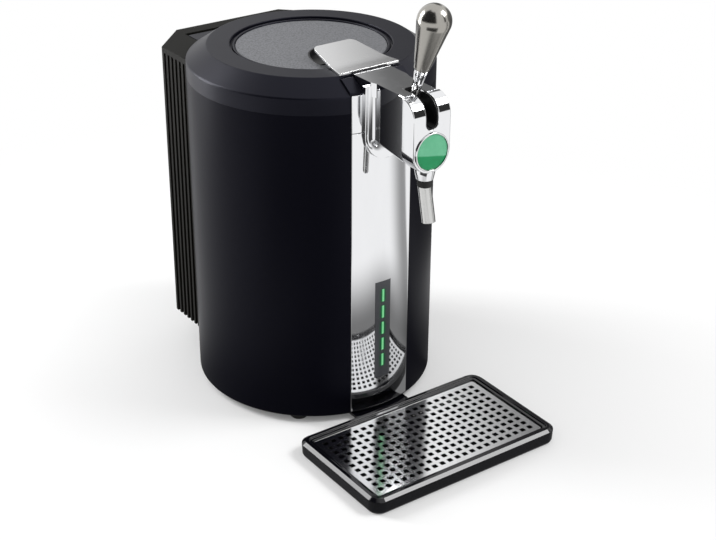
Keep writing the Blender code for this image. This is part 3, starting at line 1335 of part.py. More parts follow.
def valve():
    """The plunger that pinches the beer tube, lifted by the lever."""
    tip = TAP_BORE_HEIGHT - TAP_BORE_RADIUS + VALVE_TIP_ABOVE_BORE_FLOOR
    top = LEVER_PIVOT_HEIGHT - LEVER_HUB_RADIUS - VALVE_LIFT - VALVE_HEAD_CLEARANCE
    round_off = VALVE_RADIUS / 2
    plunger = turned([
        (0, top),
        (VALVE_RADIUS, top),
        (VALVE_RADIUS, tip + round_off),
        (VALVE_RADIUS - round_off, tip),
        (0, tip),
    ], (0, -LEVER_PIVOT_FORWARD), SMALL_STEPS)
    part(plunger, "valve_plunger", "dark_grey")


def spout():
    """The neck under the head, a dark collar and the tilted tube."""
    y = -SPOUT_FORWARD
    neck_top = HEAD_BOTTOM - GAP
    neck_bottom = neck_top - NECK_HEIGHT
    neck = turned([
        (NECK_TOP_RADIUS, neck_top),
        (NECK_BOTTOM_RADIUS, neck_bottom),
        (TAP_BORE_RADIUS, neck_bottom),
        (TAP_BORE_RADIUS, neck_top),
    ], (0, y), SMALL_STEPS)
    part(neck, "spout_neck", "chrome")
    collar_top = neck_bottom - GAP
    collar_bottom = collar_top - COLLAR_HEIGHT
    collar = turned([
        (COLLAR_RADIUS - COLLAR_ROUND, collar_top),
        (COLLAR_RADIUS, collar_top - COLLAR_ROUND),
        (COLLAR_RADIUS, collar_bottom + COLLAR_ROUND),
        (COLLAR_RADIUS - COLLAR_ROUND, collar_bottom),
        (TAP_BORE_RADIUS, collar_bottom),
        (TAP_BORE_RADIUS, collar_top),
    ], (0, y), SMALL_STEPS)
    part(collar, "spout_collar", "rubber")
    tube_top = collar_bottom - GAP
    along = Vector((0, sin(SPOUT_TILT), cos(SPOUT_TILT)))
    top = Vector((0, y, tube_top))
    foot = top - along * ((tube_top - SPOUT_BOTTOM) / cos(SPOUT_TILT))
    above = top + along * SPOUT_RADIUS
    tube = rod(SPOUT_RADIUS, foot, above)
    part(tube, "spout_tube", "chrome")
    combine(tube, rod(SPOUT_BORE_RADIUS, foot - along * OVERRUN, above + along * OVERRUN))
    combine(tube, block(
        (-SPOUT_RADIUS * 2, SPOUT_RADIUS * 2), (y - SPOUT_RADIUS * 2, y + SPOUT_RADIUS * 2),
        (tube_top, tube_top + SPOUT_RADIUS * 2),
    ))


def drip_tray():
    """The loose tray, with a tongue under the body, and the perforated plate in it."""
    tray = prism(rounded_rectangle(TRAY_HALF_WIDTH, TRAY_FRONT, TRAY_BACK, TRAY_CORNER), 0, TRAY_HEIGHT)
    part(bevel(tray, TRAY_EDGE), "drip_tray", "gloss_black")
    steps = (
        (TRAY_RIM, TRAY_HEIGHT - TRAY_STEP, TRAY_CORNER - TRAY_RIM),
        (TRAY_RIM + TRAY_LEDGE, TRAY_HEIGHT - TRAY_SEAT, GRID_CORNER),
        (TRAY_RIM + TRAY_LEDGE + TRAY_SEAT_WIDTH, TRAY_FLOOR, TRAY_BASIN_CORNER),
    )
    for inset, floor, corner in steps:
        outline = rounded_rectangle(
            TRAY_HALF_WIDTH - inset, TRAY_FRONT - inset, TRAY_BACK + inset, corner,
        )
        combine(tray, prism(outline, floor, TRAY_HEIGHT + OVERRUN))
    tongue = block(
        (-TONGUE_HALF_WIDTH, TONGUE_HALF_WIDTH), (-TRAY_BACK - TRAY_RIM, TONGUE_REACH - TRAY_BACK),
        (SHELL_BOTTOM - GAP - TONGUE_THICKNESS, SHELL_BOTTOM - GAP),
    )
    combine(tray, tongue, "UNION")
    plate = prism(
        rounded_rectangle(GRID_HALF_WIDTH, GRID_FRONT, GRID_BACK, GRID_CORNER),
        GRID_BOTTOM, GRID_BOTTOM + GRID_THICKNESS,
    )
    part(plate, "drip_grid", "chrome")
    holes = bmesh.new()
    middle_y = -(GRID_FRONT + GRID_BACK) / 2
    for column in range(HOLE_COLUMNS):
        for row in range(HOLE_ROWS):
            x = (column - (HOLE_COLUMNS - 1) / 2) * HOLE_PITCH
            y = middle_y + (row - (HOLE_ROWS - 1) / 2) * HOLE_PITCH
            size = Matrix.Diagonal((2 * HOLE_HALF_WIDTH, 2 * HOLE_HALF_WIDTH, GRID_THICKNESS + OVERRUN, 1))
            place = Matrix.Translation((x, y, GRID_BOTTOM + GRID_THICKNESS / 2))
            bmesh.ops.create_cube(holes, size=1, matrix=place @ size)
    combine(plate, from_bmesh(holes))


def settle(obj):
    """Swap a piece's modifiers for their result and shade it by angle."""
    depsgraph = bpy.context.evaluated_depsgraph_get()
    mesh = bpy.data.meshes.new_from_object(obj.evaluated_get(depsgraph))
    mesh.name = obj.name
    obj.modifiers.clear()
    obj.data = mesh
    mesh.shade_smooth()
    mesh.set_sharp_from_angle(angle=SMOOTH_ANGLE)


def hang_on_joint(name, point, pieces, parent=None):
    """Parent pieces to an empty that lies on their joint's axis, at a point in the world."""
    empty = bpy.data.objects.new(name, None)
    empty.empty_display_size = BODY_RADIUS / 4
    bpy.data.collections["mini_keg_dispenser"].objects.link(empty)
    empty.location = point
    if parent:
        empty.parent = parent
        empty.matrix_parent_inverse = parent.matrix_world.inverted()
    for piece in pieces:
        obj = bpy.data.objects[piece]
        obj.parent = empty
        obj.matrix_parent_inverse = Matrix.Translation(point).inverted()
    bpy.context.view_layer.update()
    return empty


def stand_in_middle():
    """Carry everything on one empty, and set that so that the origin is in the footprint's middle."""
    loose = [obj for obj in bpy.data.collections["mini_keg_dispenser"].objects if not obj.parent]
    carrier = bpy.data.objects.new("body_axis", None)
    bpy.data.collections["mini_keg_dispenser"].objects.link(carrier)
    for obj in loose:
        obj.parent = carrier
    carrier.location.y = (TRAY_FRONT - REAR_REACH) / 2


def build():
    clear_scene()
    body_shell()
    keg_chamber()
    front_panel()
    cooler()
    rear_housing()
    mains_fittings()
    tap()
    spout()
    lever()
    valve()
    lid()
    drip_tray()
    bpy.context.view_layer.update()
    for obj in bpy.data.collections["mini_keg_dispenser"].objects:
        settle(obj)
    pivot = (0, -LEVER_PIVOT_FORWARD, LEVER_PIVOT_HEIGHT)
    hang_on_joint("lid_hinge_axis", (0, HINGE_Y, HINGE_Z), (
        "lid_ring", "lid_disc", "finger_well", "lid_liner", "lid_plug",
        "lid_seal", "lifting_plate",
    ))
    hang_on_joint("lever_axis", pivot, ("lever_stem", "lever_neck", "lever_grip"))
    hang_on_joint("valve_axis", (0, -LEVER_PIVOT_FORWARD, TAP_BORE_HEIGHT), ("valve_plunger",))
    fan_middle = FAN_FRONT + FAN_DEPTH / 2
    hang_on_joint("fan_axis", (0, fan_middle, COOLER_HEIGHT), ("fan_rotor",))
    hang_on_joint("switch_axis", rocker_pivot(), ("power_switch",))
    tray_axis = hang_on_joint("tray_axis", (0, -TRAY_BACK, 0), ("drip_tray",))
    hang_on_joint("grid_axis", (0, -TRAY_BACK, GRID_BOTTOM), ("drip_grid",), tray_axis)
    stand_in_middle()


build()
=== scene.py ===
"""Looks of the mini keg beer dispenser: fine pieces, finishes, studio light and camera.

Metres, +Z up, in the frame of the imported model. Most sizes are read from the boxes of the
model's own pieces; the rest are the rounds, walls and patterns that only show close by.
"""

import json
from math import acos, asin, atan2, cos, hypot, pi, radians, sin, tan

import bmesh
import bpy
from mathutils import Matrix, Vector


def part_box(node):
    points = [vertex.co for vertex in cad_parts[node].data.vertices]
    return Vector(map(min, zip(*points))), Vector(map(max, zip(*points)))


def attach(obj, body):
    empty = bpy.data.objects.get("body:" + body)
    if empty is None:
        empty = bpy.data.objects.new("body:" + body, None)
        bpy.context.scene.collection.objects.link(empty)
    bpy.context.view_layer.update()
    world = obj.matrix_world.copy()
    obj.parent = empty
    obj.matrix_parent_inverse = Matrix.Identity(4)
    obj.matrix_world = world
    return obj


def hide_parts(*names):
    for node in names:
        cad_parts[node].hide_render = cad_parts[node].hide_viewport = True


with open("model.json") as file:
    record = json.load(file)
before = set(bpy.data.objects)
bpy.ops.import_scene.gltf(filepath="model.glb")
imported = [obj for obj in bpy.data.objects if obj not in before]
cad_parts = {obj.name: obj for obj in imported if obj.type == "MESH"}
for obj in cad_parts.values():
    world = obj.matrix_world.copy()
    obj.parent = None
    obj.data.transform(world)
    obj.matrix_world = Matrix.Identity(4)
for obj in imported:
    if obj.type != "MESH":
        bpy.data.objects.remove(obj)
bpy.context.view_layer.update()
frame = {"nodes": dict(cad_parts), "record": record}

# The upright body and what follows from it
SHELL_LOW, SHELL_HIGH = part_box("outer_shell")
BODY_RADIUS = SHELL_HIGH.x
AXIS_Y = (SHELL_LOW.y + SHELL_HIGH.y) / 2
SEAM_HEIGHT = SHELL_HIGH.z
GAP = 0.0003
OVERRUN = 0.004
BODY_OF = {
    node: body for body, nodes in frame["record"]["behaviour"]["bodies"].items() for node in nodes
}

# Fineness of the round pieces
TURN_STEPS = 192
SMALL_TURN_STEPS = 96
ROUND_STEPS = 4
SMOOTH_ANGLE = radians(38)

# Camera, set where the photo was taken from
CAMERA_AZIMUTH = radians(-35.4)
CAMERA_PITCH = radians(27.3)
CAMERA_ROLL = radians(0.3)
CAMERA_LENS = 75.4
CAMERA_PLACE = (-0.8379, AXIS_Y - 1.2664, 0.9032)


# ---- shapes ----

def rounded(corners, closed=True, steps=ROUND_STEPS):
    """Points along a path of (a, b, radius) corners, each turned in an arc of its radius."""
    points = []
    last = len(corners) - 1
    for index, (a, b, radius) in enumerate(corners):
        here = Vector((a, b))
        if radius == 0 or (not closed and index in (0, last)):
            points.append(here)
            continue
        before = (Vector(corners[index - 1][:2]) - here).normalized()
        after = (Vector(corners[(index + 1) % len(corners)][:2]) - here).normalized()
        half = before.angle(after) / 2
        centre = here + (before + after).normalized() * radius / sin(half)
        start = here + before * radius / tan(half) - centre
        end = here + after * radius / tan(half) - centre
        first = atan2(start.y, start.x)
        turn = (atan2(end.y, end.x) - first + pi) % (2 * pi) - pi
        for step in range(steps + 1):
            angle = first + turn * step / steps
            points.append(centre + radius * Vector((cos(angle), sin(angle))))
    return points


def arc(radius, start, end, steps, centre=(0, 0)):
    """Points on an arc, both ends included."""
    return [
        (centre[0] + radius * cos(start + (end - start) * i / steps),
         centre[1] + radius * sin(start + (end - start) * i / steps))
        for i in range(steps + 1)
    ]


def close(shape):
    """Merge a shape's doubles and turn its faces outwards."""
    bmesh.ops.remove_doubles(shape, verts=shape.verts, dist=0.000002)
    bmesh.ops.recalc_face_normals(shape, faces=shape.faces)
    return shape


def lathe(profile, steps=TURN_STEPS, centre=(0, AXIS_Y), closed=True):
    """Spin a profile of (radius, z) points round an upright axis."""
    shape = bmesh.new()
    verts = [shape.verts.new((centre[0] + radius, centre[1], z)) for radius, z in profile]
    pairs = list(zip(verts, verts[1:])) + ([(verts[-1], verts[0])] if closed else [])
    edges = [shape.edges.new(pair) for pair in pairs]
    bmesh.ops.spin(
        shape, geom=verts + edges, cent=(*centre, 0), axis=(0, 0, 1), angle=2 * pi, steps=steps, use_merge=True,
    )
    return close(shape)


def extruded(outline, low, high, axis="Z"):
    """Extrude a closed outline along an axis; the outline holds the two other coordinates in order."""
    place = {
        "Z": lambda a, b, c: (a, b, c), "X": lambda a, b, c: (c, a, b), "Y": lambda a, b, c: (a, c, b),
    }[axis]
    shape = bmesh.new()
    face = shape.faces.new([shape.verts.new(place(a, b, low)) for a, b in outline])
    grown = bmesh.ops.extrude_face_region(shape, geom=[face])
    moved = [item for item in grown["geom"] if isinstance(item, bmesh.types.BMVert)]
    bmesh.ops.translate(shape, verts=moved, vec=Vector(place(0, 0, high - low)))
    return close(shape)


def lofted(rings, capped=True):
    """A skin through closed rings of equally many points, with a face over each end."""
    columns = len(rings[0]) + 1
    shape = bmesh.new()
    bmesh.ops.create_grid(shape, x_segments=columns - 1, y_segments=len(rings) - 1, size=1)
    shape.verts.ensure_lookup_table()
    for row, ring in enumerate(rings):
        for column in range(columns):
            shape.verts[row * columns + column].co = ring[column % len(ring)]
    bmesh.ops.remove_doubles(shape, verts=shape.verts, dist=0.000002)
    if capped:
        bmesh.ops.holes_fill(shape, edges=[edge for edge in shape.edges if edge.is_boundary])
    return close(shape)


def box_shape(low, high):
    """A block between two corners."""
    shape = bmesh.new()
    low, high = Vector(low), Vector(high)
    size = Matrix.Diagonal(high - low).to_4x4()
    bmesh.ops.create_cube(shape, size=1, matrix=Matrix.Translation((low + high) / 2) @ size)
    return shape


def rod(radius, start, end, steps=SMALL_TURN_STEPS):
    """A round bar from one point to another."""
    start, end = Vector(start), Vector(end)
    turn = (end - start).to_track_quat("Z", "Y").to_matrix().to_4x4()
    shape = bmesh.new()
    bmesh.ops.create_cone(
        shape, cap_ends=True, segments=steps, radius1=radius, radius2=radius, depth=(end - start).length,
        matrix=Matrix.Translation((start + end) / 2) @ turn,
    )
    return shape


def sector(inner, outer, half_angle, low, high, steps=24):
    """A piece of a tube wall, centred on the front of the body."""
    front = -pi / 2
    outline = arc(outer, front - half_angle, front + half_angle, steps, (0, AXIS_Y))
    outline += arc(inner, front + half_angle, front - half_angle, steps, (0, AXIS_Y))
    return extruded(outline, low, high)


def soften(shape, width, segments=3, angle=radians(35), chosen=None):
    """Round a shape's sharp edges, or only those of them that a test picks."""
    edges = [
        edge for edge in shape.edges
        if len(edge.link_faces) == 2 and edge.calc_face_angle() > angle
        and (chosen is None or chosen(*(vert.co for vert in edge.verts)))
    ]
    bmesh.ops.bevel(
        shape, geom=edges, offset=width, segments=segments, profile=0.5, affect="EDGES", material=-1,
        clamp_overlap=True,
    )
    return shape


def carve(shape, cutter, operation="DIFFERENCE"):
    """Cut one shape out of another, or join them, and return the result as a new shape."""
    objects = []
    for source in (shape, cutter):
        mesh = bpy.data.meshes.new("carving")
        source.to_mesh(mesh)
        source.free()
        objects.append(bpy.data.objects.new("carving", mesh))
        bpy.context.scene.collection.objects.link(objects[-1])
    modifier = objects[0].modifiers.new("carve", "BOOLEAN")
    modifier.operation = operation
    modifier.solver = "EXACT"
    modifier.object = objects[1]
    depsgraph = bpy.context.evaluated_depsgraph_get()
    result = bmesh.new()
    result.from_object(objects[0], depsgraph)
    for obj in objects:
        mesh = obj.data
        bpy.data.objects.remove(obj, do_unlink=True)
        bpy.data.meshes.remove(mesh)
    bmesh.ops.dissolve_limit(
        result, angle_limit=radians(0.2), verts=result.verts, edges=result.edges,
    )
    return close(result)


def copy_of(node):
    """A model piece's own shape, its loose triangles merged into whole faces."""
    shape = bmesh.new()
    shape.from_mesh(frame["nodes"][node].data)
    bmesh.ops.remove_doubles(shape, verts=shape.verts, dist=0.000005)
    bmesh.ops.dissolve_limit(shape, angle_limit=radians(0.5), verts=shape.verts, edges=shape.edges)
    return close(shape)


def piece(name, shape, finish, *nodes, angle=SMOOTH_ANGLE):
    """Turn a finished shape into an object that stands for its model nodes and rides with them."""
    mesh = bpy.data.meshes.new(name)
    shape.to_mesh(mesh)
    shape.free()
    mesh.materials.append(finish)
    mesh.shade_smooth()
    mesh.set_sharp_from_angle(angle=angle)
    obj = bpy.data.objects.new(name, mesh)
    bpy.context.scene.collection.objects.link(obj)
    normals = obj.modifiers.new("even faces", "WEIGHTED_NORMAL")
    normals.keep_sharp = True
    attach(obj, BODY_OF[nodes[0]])
    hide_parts(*nodes)
    return obj


# ---- finishes ----

class Signal:
    """One socket of a finish; arithmetic on it adds Math nodes."""

    def __init__(self, finish, socket):
        self.finish = finish
        self.socket = socket

    def maths(self, operation, *values):
        return self.finish.node("ShaderNodeMath", {"operation": operation}, dict(enumerate(values)))

    def __add__(self, other):
        return self.maths("ADD", self, other)

    def __sub__(self, other):
        return self.maths("SUBTRACT", self, other)

    def __rsub__(self, other):
        return self.maths("SUBTRACT", other, self)

    def __mul__(self, other):
        return self.maths("MULTIPLY", self, other)

    def __truediv__(self, other):
        return self.maths("DIVIDE", self, other)

    def __rtruediv__(self, other):
        return self.maths("DIVIDE", other, self)

    def __pow__(self, other):
        return self.maths("POWER", self, other)

    def __abs__(self):
        return self.maths("ABSOLUTE", self)

    __radd__ = __add__
    __rmul__ = __mul__

    def clipped(self, low=0, high=1):
        """The signal held between two values."""
        return self.maths("MINIMUM", self.maths("MAXIMUM", self, low), high)

    def ramp(self, low, high):
        """A soft step that is nothing at low and one at high."""
        return self.finish.node(
            "ShaderNodeMapRange", {"interpolation_type": "SMOOTHSTEP"}, {0: self, 1: low, 2: high, 3: 0, 4: 1},
        )


class Nodes:
    """A node tree that is filled by one method."""

    def __init__(self, owner):
        owner.use_nodes = True
        self.tree = owner.node_tree

    def node(self, kind, settings, sockets, output=0):
        node = self.tree.nodes.new(kind)
        for key, value in settings.items():
            setattr(node, key, value)
        for key, value in sockets.items():
            self.join(node.inputs[key], value)
        return Signal(self, node.outputs[output])

    def join(self, socket, value):
        if isinstance(value, Signal):
            self.tree.links.new(value.socket, socket)
        elif socket.type == "RGBA":
            socket.default_value = (*value, 1)
        else:
            socket.default_value = value

    def place(self):
        """The Object coordinates."""
        return self.node("ShaderNodeTexCoord", {}, {}, 3)

    def along(self, place=None):
        """The three Object coordinates as separate signals."""
        split = self.node("ShaderNodeSeparateXYZ", {}, {0: place or self.place()})
        return [Signal(self, split.socket.node.outputs[axis]) for axis in range(3)]

    def stretched(self, scale, place=None):
        """Object coordinates scaled unevenly, for a grain that runs one way."""
        return self.node("ShaderNodeMapping", {"vector_type": "POINT"}, {0: place or self.place(), 3: scale})

    def noise(self, scale, detail=2, place=None, roughness=0.5):
        """Noise from nothing to one."""
        return self.node(
            "ShaderNodeTexNoise", {"noise_dimensions": "3D"},
            {"Vector": place or self.place(), "Scale": scale, "Detail": detail, "Roughness": roughness},
        )

    def blend(self, factor, low, high):
        """A colour between two."""
        mix = self.tree.nodes.new("ShaderNodeMix")
        mix.data_type = "RGBA"
        for socket, value in ((mix.inputs[0], factor), (mix.inputs[6], low), (mix.inputs[7], high)):
            self.join(socket, value)
        return Signal(self, mix.outputs[2])


class Finish(Nodes):
    """A Principled material; constants sit on the shader's own sockets."""

    def __init__(self, name, colour, roughness, metallic=0.0, **constants):
        material = bpy.data.materials.new(name)
        super().__init__(material)
        self.material = material
        self.shader = self.tree.nodes["Principled BSDF"]
        self.set("Base Color", colour)
        self.set("Roughness", roughness)
        self.set("Metallic", metallic)
        for key, value in constants.items():
            self.set(key.replace("_", " "), value)

    def set(self, socket, value):
        self.join(self.shader.inputs[socket], value)

    def bump(self, height, distance, strength=1.0):
        """Raise the surface by a height signal, distance metres at most."""
        self.set("Normal", self.node(
            "ShaderNodeBump", {}, {"Strength": strength, "Distance": distance, "Height": height},
        ))


def moulded_plastic(name, colour, shade, roughness, grain, depth, **constants):
    """Injection-moulded plastic with a fine spark-eroded grain."""
    finish = Finish(name, colour, roughness, **constants)
    cloud = finish.noise(14, 3)
    fine = finish.noise(grain, 2)
    finish.set("Base Color", finish.blend(cloud * 0.6 + fine * 0.4, colour, shade))
    finish.set("Roughness", roughness - 0.03 + cloud * 0.04 + fine * 0.04)
    finish.bump(fine, depth, 0.5)
    return finish.material


def polished_metal(name, colour, roughness, haze):
    """Plated metal: mirror-bright, with faint wipe marks and a very slight waviness."""
    finish = Finish(name, colour, roughness, 1.0)
    wipe = finish.noise(90, 4, finish.stretched((1, 1, 0.25)))
    finish.set("Roughness", roughness + haze * wipe.ramp(0.45, 0.8))
    finish.set("Base Color", finish.blend(wipe, colour, [0.96 * value for value in colour]))
    finish.bump(finish.noise(28, 1), 0.00002, 0.4)
    return finish.material


def brushed_metal(name, colour, roughness, direction, depth=0.00003):
    """Metal with fine brush lines; direction is the scale of the grain along each axis."""
    finish = Finish(name, colour, roughness, 1.0)
    lines = finish.noise(1, 3, finish.stretched(direction), 0.7)
    cloud = finish.noise(30, 2)
    finish.set("Roughness", roughness - 0.04 + lines * 0.08 + cloud * 0.03)
    finish.set("Base Color", finish.blend(lines, [0.88 * value for value in colour], colour))
    finish.bump(lines, depth, 0.5)
    return finish.material


def speckled_disc():
    """The lid's disc: silver-grey plastic with a fine metallic fleck."""
    finish = Finish("speckled_silver", (0.2, 0.2, 0.2), 0.40, 0.6)
    flecks = finish.node(
        "ShaderNodeTexVoronoi", {"feature": "F1"}, {"Vector": finish.place(), "Scale": 480}, "Distance",
    )
    grain = finish.noise(1100, 2)
    mixed = (flecks * 0.6 + grain * 0.6).clipped()
    finish.set("Base Color", finish.blend(mixed, (0.33, 0.335, 0.355), (0.105, 0.108, 0.118)))
    finish.set("Roughness", 0.36 + mixed * 0.14)
    finish.bump(mixed, 0.00008, 0.6)
    return finish.material


def level_glass(bars):
    """The display's smoked window, with the bars' green light painted into its colour round each bar."""
    finish = Finish("smoked_window", (0.05, 0.05, 0.055), 0.14)
    x, y, z = finish.along()
    # painted glow: the bars' green light is painted into the window's colour round each bar
    glow = 0
    for low, high in bars:
        reach = 0.0035
        side = 1 - abs(x).ramp(0.0014, 0.0058)
        height = z.ramp(low - reach, low + reach) * (1 - z.ramp(high - reach, high + reach))
        glow = glow + side * height
    smoke = finish.noise(60, 2)
    grey = finish.blend(smoke, (0.048, 0.050, 0.056), (0.062, 0.064, 0.070))
    finish.set("Base Color", finish.blend(glow.clipped(), grey, (0.010, 0.085, 0.035)))
    finish.set("Roughness", 0.12 + smoke * 0.05)
    return finish.material


def level_light():
    """A lit bar: pale green down its middle, deeper green at its edges."""
    finish = Finish("level_light", (0.1, 0.6, 0.25), 0.35, Emission_Strength=0.20)
    x, y, z = finish.along()
    middle = 1 - abs(x).ramp(0.0002, 0.0016)
    spill = finish.noise(500, 2)
    colour = finish.blend((middle * (0.75 + spill * 0.4)).clipped(), (0.02, 0.30, 0.09), (0.22, 0.66, 0.30))
    finish.set("Base Color", colour)
    finish.set("Emission Color", colour)
    return finish.material


def enamel(centre_z):
    """The bare badge: glossy green enamel, pale above and deep below."""
    finish = Finish("green_enamel", (0.1, 0.4, 0.2), 0.14, Specular_IOR_Level=0.35)
    x, y, z = finish.along()
    drift = finish.noise(120, 3)
    above = (z - centre_z + x * 0.2 + drift * 0.0012).ramp(-0.0040, -0.0024)
    pale = finish.blend(drift, (0.10, 0.43, 0.23), (0.16, 0.53, 0.31))
    deep = finish.blend(drift, (0.000, 0.22, 0.070), (0.002, 0.29, 0.10))
    finish.set("Base Color", finish.blend(above, deep, pale))
    finish.set("Roughness", 0.10 + drift * 0.06)
    finish.bump(drift, 0.00003, 0.3)
    return finish.material


def circuit_board():
    """Green board with copper tracks under its varnish."""
    finish = Finish("circuit_board", (0.02, 0.12, 0.05), 0.4)
    tracks = finish.node(
        "ShaderNodeTexVoronoi", {"feature": "DISTANCE_TO_EDGE"}, {"Vector": finish.place(), "Scale": 260}, "Distance",
    )
    line = 1 - tracks.ramp(0.02, 0.06)
    finish.set("Base Color", finish.blend(line, (0.012, 0.085, 0.035), (0.06, 0.22, 0.08)))
    finish.set("Roughness", 0.42 - line * 0.15)
    finish.bump(line, 0.00005, 0.6)
    return finish.material


def rigid_foam():
    """Cast foam with its small open cells."""
    finish = Finish("rigid_foam", (0.75, 0.73, 0.66), 0.9)
    cells = finish.node(
        "ShaderNodeTexVoronoi", {"feature": "F1"}, {"Vector": finish.place(), "Scale": 700}, "Distance",
    )
    stain = finish.noise(18, 3)
    finish.set("Base Color", finish.blend((cells * 0.5 + stain * 0.5), (0.80, 0.78, 0.70), (0.66, 0.62, 0.52)))
    finish.set("Roughness", 0.84 + cells * 0.1)
    finish.bump(1 - cells, 0.0004, 0.7)
    return finish.material


def ceramic():
    """Glazed-white ceramic with fine pits."""
    finish = Finish("ceramic", (0.84, 0.83, 0.78), 0.55)
    pits = finish.noise(900, 3)
    finish.set("Base Color", finish.blend(pits, (0.78, 0.77, 0.71), (0.87, 0.86, 0.81)))
    finish.set("Roughness", 0.5 + pits * 0.15)
    finish.bump(pits, 0.00006, 0.5)
    return finish.material


SATIN_BLACK = moulded_plastic(
    "satin_black", (0.0016, 0.0016, 0.0042), (0.0022, 0.0022, 0.0052), 0.38, 1500, 0.00004,
    Specular_IOR_Level=0.09, Specular_Tint=(0.78, 0.78, 1.0),
)
LID_BLACK = moulded_plastic(
    "lid_black", (0.0022, 0.0022, 0.0052), (0.0032, 0.0032, 0.0066), 0.38, 1500, 0.00004,
    Specular_IOR_Level=0.24, Specular_Tint=(0.78, 0.79, 1.0),
)
HOUSING_BLACK = moulded_plastic(
    "housing_black", (0.0048, 0.0047, 0.0036), (0.0070, 0.0066, 0.0052), 0.50, 1100, 0.00009,
    Specular_IOR_Level=0.08,
)
GLOSS_BLACK = moulded_plastic(
    "gloss_black", (0.0020, 0.0020, 0.0034), (0.0028, 0.0028, 0.0044), 0.07, 260, 0.000004,
    Specular_IOR_Level=0.5,
)
INNER_BLACK = moulded_plastic(
    "inner_black", (0.0050, 0.0050, 0.0060), (0.0075, 0.0075, 0.0085), 0.38, 1300, 0.00005,
)
DARK_GREY = moulded_plastic(
    "dark_grey", (0.060, 0.060, 0.067), (0.080, 0.080, 0.088), 0.46, 1200, 0.00007,
)
RUBBER = moulded_plastic(
    "black_rubber", (0.010, 0.010, 0.010), (0.017, 0.017, 0.016), 0.72, 800, 0.00010,
)
CHROME = polished_metal("chrome", (0.86, 0.865, 0.88), 0.045, 0.05)
PLATE_POLISH = polished_metal("polished_plate", (0.86, 0.865, 0.875), 0.12, 0.04)
GRIP_STEEL = brushed_metal("satin_nickel", (0.42, 0.405, 0.375), 0.17, (500, 500, 60), 0.00001)
SPOUT_STEEL = brushed_metal("spout_steel", (0.68, 0.68, 0.67), 0.16, (900, 900, 60), 0.00001)
LIFT_STEEL = brushed_metal("lift_plate_steel", (0.84, 0.84, 0.845), 0.17, (1600, 60, 60), 0.00001)
PIN_STEEL = brushed_metal("pin_steel", (0.55, 0.55, 0.54), 0.30, (80, 900, 900))
WELL_ALUMINIUM = brushed_metal("well_aluminium", (0.70, 0.71, 0.72), 0.36, (60, 60, 1400))
SINK_ALUMINIUM = brushed_metal("sink_aluminium", (0.62, 0.63, 0.64), 0.42, (1200, 60, 60))


# ---- body, strip and display ----

STRIP_LOW, STRIP_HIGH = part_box("front_panel")
STRIP_RADIUS = AXIS_Y - STRIP_LOW.y
STRIP_HALF_ANGLE = asin(STRIP_HIGH.x / STRIP_RADIUS)
STRIP_THICKNESS = 0.002
STRIP_EDGE = 0.0006
SHELL_WALL = 0.003
SHELL_EDGE = 0.0034
SHELL_FLANGE = 0.034
NOTCH_HALF_WIDTH = 0.008
NOTCH_DEPTH = 0.021


def body_shell():
    """The satin black tube with its rolled lower edge and the recess for the bright strip."""
    bottom = SHELL_LOW.z
    shape = lathe(rounded([
        (BODY_RADIUS, SEAM_HEIGHT, 0.0005),
        (BODY_RADIUS, bottom, SHELL_EDGE),
        (BODY_RADIUS - SHELL_FLANGE, bottom, 0),
        (BODY_RADIUS - SHELL_FLANGE, bottom + SHELL_WALL, 0),
        (BODY_RADIUS - SHELL_WALL, bottom + SHELL_WALL, 0),
        (BODY_RADIUS - SHELL_WALL, SEAM_HEIGHT, 0),
    ], steps=6))
    inner = STRIP_RADIUS - STRIP_THICKNESS - GAP
    half_angle = STRIP_HALF_ANGLE + GAP / BODY_RADIUS
    shape = carve(shape, sector(
        inner, BODY_RADIUS + OVERRUN, half_angle, bottom + SHELL_WALL, SEAM_HEIGHT + OVERRUN, 48,
    ))
    shape = carve(shape, box_shape(
        (-NOTCH_HALF_WIDTH, SHELL_LOW.y - OVERRUN, SEAM_HEIGHT - NOTCH_DEPTH),
        (NOTCH_HALF_WIDTH, 0, SEAM_HEIGHT + OVERRUN),
    ))
    sink_low, sink_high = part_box("heat_sink")
    room = Vector((0.002, OVERRUN * 6, 0.002))
    shape = carve(shape, box_shape(sink_low - room, sink_high + room))
    piece("body_tube", shape, SATIN_BLACK, "outer_shell")


